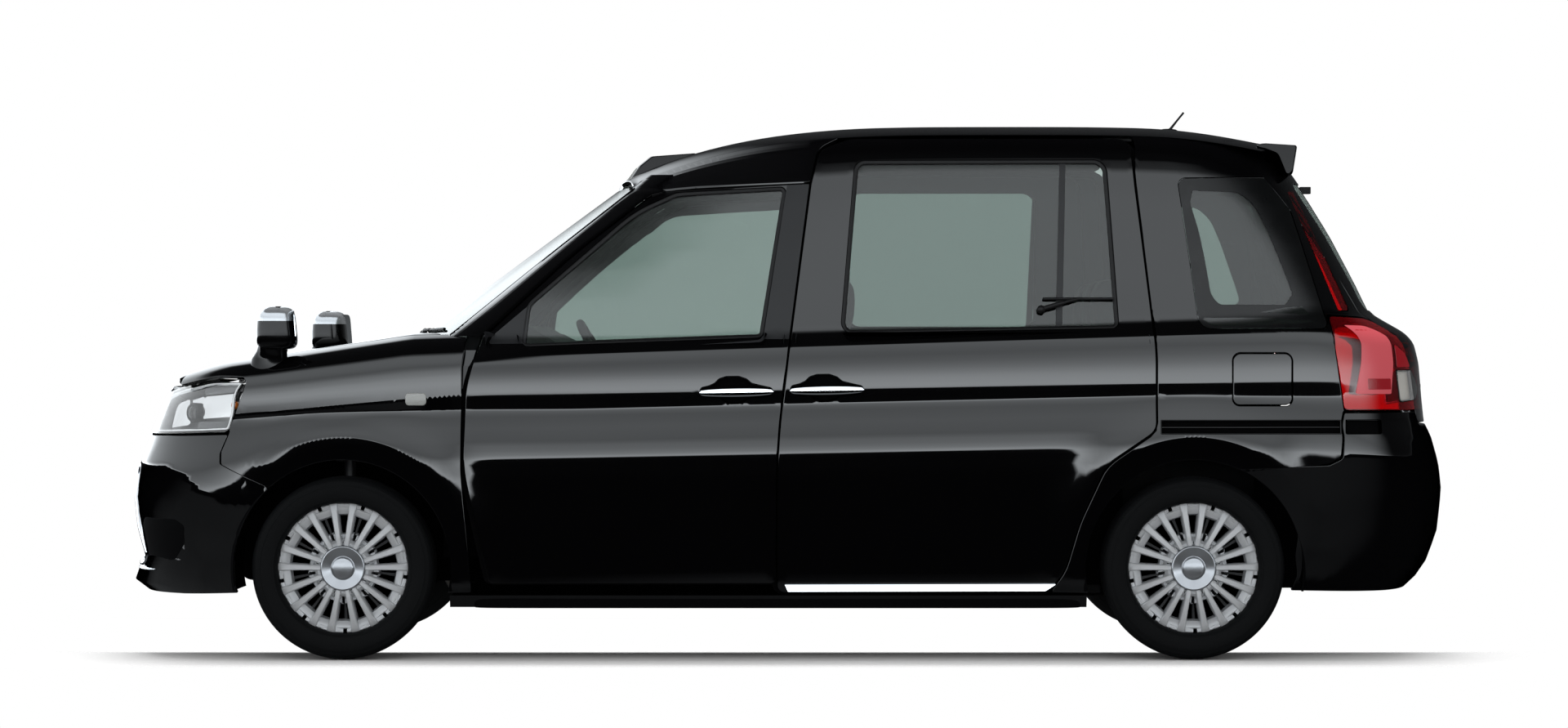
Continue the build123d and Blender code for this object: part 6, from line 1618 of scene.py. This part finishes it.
def stuffed(name, outline, centre_y, half, seams=(), cross_seams=(), rounding=0.12):
    """A foam pad: a rounded block that swells as cloth under pressure, then is drawn in along its seams."""
    loop = corners([(x, z, 0.03) for x, z in outline], 0.02)
    middle_at = loop.mean(axis=0)
    rows = []
    for share in np.sin(np.radians(np.linspace(-90, 90, PAD_RINGS))):
        size = 1 - rounding * (1 - (1 - abs(share) ** 6) ** 0.5) - 0.03
        flat_points = middle_at + (loop - middle_at) * size
        y = centre_y + share * (half - 0.008)
        rows.append(np.stack([flat_points[:, 0], 0 * flat_points[:, 0] + y, flat_points[:, 1]], axis=-1))
    block = grid_part(np.array(rows), closed=True)
    count = len(loop)
    caps = [tuple(range(count)), tuple((PAD_RINGS - 1) * count + k for k in range(count))[::-1]]
    block = oriented([block[0], block[1] + caps, 1.0])
    pad = piece(name, block, CLOTH, slot="seat_fabric")
    remesh = pad.modifiers.new("even_mesh", "REMESH")
    remesh.mode, remesh.voxel_size = "VOXEL", PAD_VOXEL
    settle(pad)
    rest, _ = read_points(pad.data)
    cloth = pad.modifiers.new("swelling", "CLOTH")
    cloth.settings.use_pressure = True
    cloth.settings.uniform_pressure_force = 4
    cloth.settings.effector_weights.gravity = 0
    cloth.point_cache.frame_start, cloth.point_cache.frame_end = 1, PAD_STEPS
    for step in range(1, PAD_STEPS + 1):
        bpy.context.scene.frame_set(step)
        bpy.context.view_layer.update()
    settle(pad)
    bpy.context.scene.frame_set(1)
    swollen, _ = read_points(pad.data)
    moved_by = swollen - rest
    far = np.linalg.norm(moved_by, axis=1)[:, None]
    write_points(pad.data, rest + moved_by * np.minimum(1, PAD_SWELL / np.maximum(far, 1e-9)))
    smooth = pad.modifiers.new("smooth", "SUBSURF")
    smooth.levels = smooth.render_levels = 1
    settle(pad)
    places, normals = read_points(pad.data)
    groove = np.zeros(len(places))
    for y in seams:
        groove = np.maximum(groove, np.exp(-((np.abs(places[:, 1] - centre_y) - y) / SEAM_WIDTH) ** 2))
    for axis, at in cross_seams:
        near = np.abs(places[:, 1] - centre_y) < (seams[0] if seams else half)
        groove = np.maximum(groove, near * np.exp(-((places[:, axis] - at) / SEAM_WIDTH) ** 2))
    write_points(pad.data, places - normals * (SEAM_DEPTH * groove)[:, None])
    for polygon in pad.data.polygons:
        polygon.use_smooth = True
    return pad


def settle(made):
    """Keep what the modifiers make as the piece's own mesh."""
    bpy.context.view_layer.update()
    seen = made.evaluated_get(bpy.context.evaluated_depsgraph_get())
    mesh = bpy.data.meshes.new_from_object(seen)
    made.modifiers.clear()
    old, made.data = made.data, mesh
    bpy.data.meshes.remove(old)


def read_points(mesh):
    places = np.empty(len(mesh.vertices) * 3)
    normals = np.empty(len(mesh.vertices) * 3)
    mesh.vertices.foreach_get("co", places)
    mesh.vertices.foreach_get("normal", normals)
    return places.reshape(-1, 3), normals.reshape(-1, 3)


def write_points(mesh, places):
    mesh.vertices.foreach_set("co", places.ravel())
    mesh.update()


def seat(name, low, centre_y, width):
    """Cushion, back and head restraint of one seat on its plinth, low being its front lower corner."""
    x, z = low[0] + 0.27, low[1]
    half = width / 2
    cushion = stuffed(name + "_cushion", [(x - 0.262, z + 0.003), (x - 0.268, z + 0.106),
        (x + 0.228, z + 0.08), (x + 0.235, z + 0.003)], centre_y, half, (half * 0.62,), ((0, x - 0.02),))
    back = stuffed(name + "_back", [(x + 0.186, z + 0.084), (x + 0.331, z + 0.634), (x + 0.407, z + 0.634),
        (x + 0.292, z + 0.06)], centre_y, half * 0.94, (half * 0.56,), ((2, z + 0.24), (2, z + 0.46)))
    count = 1 if width < 1 else 3
    heads = [stuffed("%s_head_%d" % (name, k), [(x + 0.338, z + 0.65), (x + 0.346, z + 0.846),
        (x + 0.431, z + 0.846), (x + 0.414, z + 0.65)], centre_y + (k - (count - 1) / 2) * 0.4,
        0.124) for k in range(count)]
    return [cushion, back, *heads]


front_low = [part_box("front_seats")[0].x, 0.392]
rear_low = [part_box("rear_seat")[0].x, 0.392]
seat("driver_seat", front_low, 0.35, 0.5)
seat("passenger_seat", front_low, -0.35, 0.5)
seat("rear_bench", rear_low, 0.0, 1.24)
for name, low, centres, half, node in (("front_plinths", front_low, (-0.35, 0.35), 0.18, "front_seats"),
        ("rear_plinth", rear_low, (0.0,), 0.446, "rear_seat")):
    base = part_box(node)[0].z
    boxes = [slab((low[0] + 0.06, y - half, base), (low[0] + 0.47, y + half, 0.394)) for y in centres]
    piece(name, joined(*boxes), CARD, stands_for=[node])

# ------------------------------------------------------------------ carried-over nodes
KEPT = {"floor_pan": UNDERBODY, "sills": PAINT, "hinge_pillars": PAINT, "b_pillars": GLOSS_BLACK,
    "cowl": PLASTIC, "plate_bracket": PLATE, "front_subframe": STEEL, "knuckle_left": IRON,
    "knuckle_right": IRON, "rear_axle": STEEL, "exhaust": EXHAUST, "engine": IRON, "dashboard": DASH,
    "steering_wheel": DASH,}
for node_name, material in KEPT.items():
    mesh = frame["nodes"][node_name].data
    mesh.materials.clear()
    mesh.materials.append(material)
    for polygon in mesh.polygons:
        polygon.material_index = 0

# ------------------------------------------------------------------ floor, light and camera
STUDIO_R = 16.0
FLOOR_R = 5.5


def disc(name, radius, z, segments=96):
    mesh = bpy.data.meshes.new(name)
    spots = [(radius * math.cos(t), radius * math.sin(t), z) for t in np.linspace(0, 2 * math.pi, segments,
        False)]
    mesh.from_pydata(spots, [], [tuple(range(segments))])
    made = bpy.data.objects.new(name, mesh)
    bpy.context.scene.collection.objects.link(made)
    return made


floor = disc("studio_floor", FLOOR_R, -0.0005)
floor_finish = bpy.data.materials.new("studio_floor_painted_white")
floor_finish.use_nodes = True
tree = floor_finish.node_tree
where = add(tree, "TexCoord").outputs["Object"]
spread = add(tree, "VectorMath", {0: where, 1: (0.408, 0.9, 0.0)}, operation="MULTIPLY")
away = add(tree, "VectorMath", {0: spread.outputs[0]}, operation="ABSOLUTE")
parts = add(tree, "SeparateXYZ", {"Vector": away.outputs[0]})
far = add(tree, "Math", {0: parts.outputs["X"], 1: parts.outputs["Y"]}, operation="MAXIMUM")
edge = add(tree, "MapRange", {"Value": far.outputs[0], "From Min": 0.86, "From Max": 1.04},
    interpolation_type="SMOOTHSTEP")
across = add(tree, "SeparateXYZ", {"Vector": where}).outputs["Y"]
belly = add(tree, "MapRange", {"Value": across, "From Min": -0.52, "From Max": -0.44},
    interpolation_type="SMOOTHSTEP")
beyond = add(tree, "MapRange", {"Value": across, "From Min": 1.3, "From Max": 0.95},
    interpolation_type="SMOOTHSTEP")
under = add(tree, "Math", {0: belly.outputs["Result"], 1: beyond.outputs["Result"]}, operation="MULTIPLY")
fade = add(tree, "Math", {0: edge.outputs["Result"], 1: under.outputs[0]}, operation="MAXIMUM")
matt = add(tree, "BsdfDiffuse", {"Color": (1, 1, 1, 1)})
gone = add(tree, "BsdfTransparent")
mixed = add(tree, "MixShader", {0: fade.outputs[0], 1: matt.outputs[0], 2: gone.outputs[0]})
tree.links.new(mixed.outputs[0], tree.nodes["Material Output"].inputs["Surface"])
floor.data.materials.append(floor_finish)
floor.visible_glossy = False

# round of soft light, brightest just above the horizon and dark overhead, seen only in reflections
bm = bmesh.new()
bmesh.ops.create_uvsphere(bm, u_segments=64, v_segments=32, radius=STUDIO_R)
mesh = bpy.data.meshes.new("soft_round")
bm.to_mesh(mesh)
bm.free()
wall = bpy.data.objects.new("soft_round", mesh)
wall.location.z = 0.7
bpy.context.scene.collection.objects.link(wall)
wall_finish = bpy.data.materials.new("soft_round_lit_cloth")
wall_finish.use_nodes = True
tree = wall_finish.node_tree
tree.nodes.remove(tree.nodes["Principled BSDF"])
spot = add(tree, "VectorMath", {0: add(tree, "TexCoord").outputs["Object"]}, operation="NORMALIZE").outputs[0]
parts = add(tree, "SeparateXYZ", {"Vector": spot})
share = add(tree, "MapRange", {"Value": parts.outputs["Z"], "From Min": -0.9, "From Max": 0.9})
near_side = add(tree, "MapRange", {"Value": parts.outputs["Y"], "From Min": -0.3, "From Max": -0.75,
    "To Min": 0.02}, interpolation_type="SMOOTHSTEP")
front_side = add(tree, "MapRange", {"Value": parts.outputs["X"], "From Min": -0.08, "From Max": -0.3,
    "To Min": 0.02}, interpolation_type="SMOOTHSTEP")
ahead = add(tree, "Math", {0: near_side.outputs["Result"], 1: front_side.outputs["Result"]},
    operation="MAXIMUM")
ramp = add(tree, "ValToRGB", {"Fac": share.outputs["Result"]})
stops = [(-0.9, 0.2), (-0.5, 0.12), (-0.36, 0.0), (-0.1, 0.0), (-0.012, 0.02), (0.002, 6.2), (0.052, 4.2),
    (0.087, 3.3), (0.139, 2.2), (0.174, 1.75), (0.24, 2.0), (0.31, 2.2), (0.4, 2.3), (0.48, 2.3), (0.56, 2.1),
    (0.64, 0.5), (0.7, 0.03)]
while len(ramp.color_ramp.elements) < len(stops):
    ramp.color_ramp.elements.new(0.5)
for element, (height_share, value) in zip(ramp.color_ramp.elements, stops):
    element.position = (height_share + 0.9) / 1.8
    element.color = (value / 6.6, value / 6.25, value / 6, 1)
power = add(tree, "Math", {0: ahead.outputs[0], 1: 6.0}, operation="MULTIPLY")
glow = add(tree, "Emission", {"Color": ramp.outputs["Color"], "Strength": power.outputs[0]})
tree.links.new(glow.outputs[0], tree.nodes["Material Output"].inputs["Surface"])
wall.data.materials.append(wall_finish)
wall.visible_camera = wall.visible_diffuse = wall.visible_transmission = wall.visible_shadow = False
wall_finish.cycles.emission_sampling = "NONE"

lamp_data = bpy.data.lights.new("overhead_softbox", "AREA")
lamp_data.shape = "RECTANGLE"
lamp_data.size, lamp_data.size_y = 9.0, 7.0
lamp_data.energy = 700
lamp = bpy.data.objects.new("overhead_softbox", lamp_data)
lamp.location = (0, 2.4, 6.6)
lamp.visible_camera = lamp.visible_glossy = lamp.visible_transmission = False
bpy.context.scene.collection.objects.link(lamp)

world = bpy.data.worlds.new("white_studio")
bpy.context.scene.world = world
world.use_nodes = True
tree = world.node_tree
back = tree.nodes["Background"]
back.inputs["Color"].default_value = (1, 1, 1, 1)
path = add(tree, "LightPath")
seen = add(tree, "Math", {0: path.outputs["Is Camera Ray"], 1: path.outputs["Is Glossy Ray"]},
    operation="MAXIMUM")
seen = add(tree, "Math", {0: seen.outputs[0], 1: path.outputs["Is Transmission Ray"]}, operation="MAXIMUM")
power = add(tree, "MapRange", {"Value": seen.outputs[0], "To Min": 0.65, "To Max": 1.0})
tree.links.new(power.outputs["Result"], back.inputs["Strength"])

camera_data = bpy.data.cameras.new("side_camera")
camera_data.lens = 91.63
camera_data.sensor_width = 36
camera = bpy.data.objects.new("side_camera", camera_data)
camera.location = (-0.009, -13.7, 0.9965)
camera.rotation_euler = (math.radians(90 - 0.1817), 0, 0)
bpy.context.scene.collection.objects.link(camera)
bpy.context.scene.camera = camera
bpy.context.scene.view_settings.view_transform = "Standard"
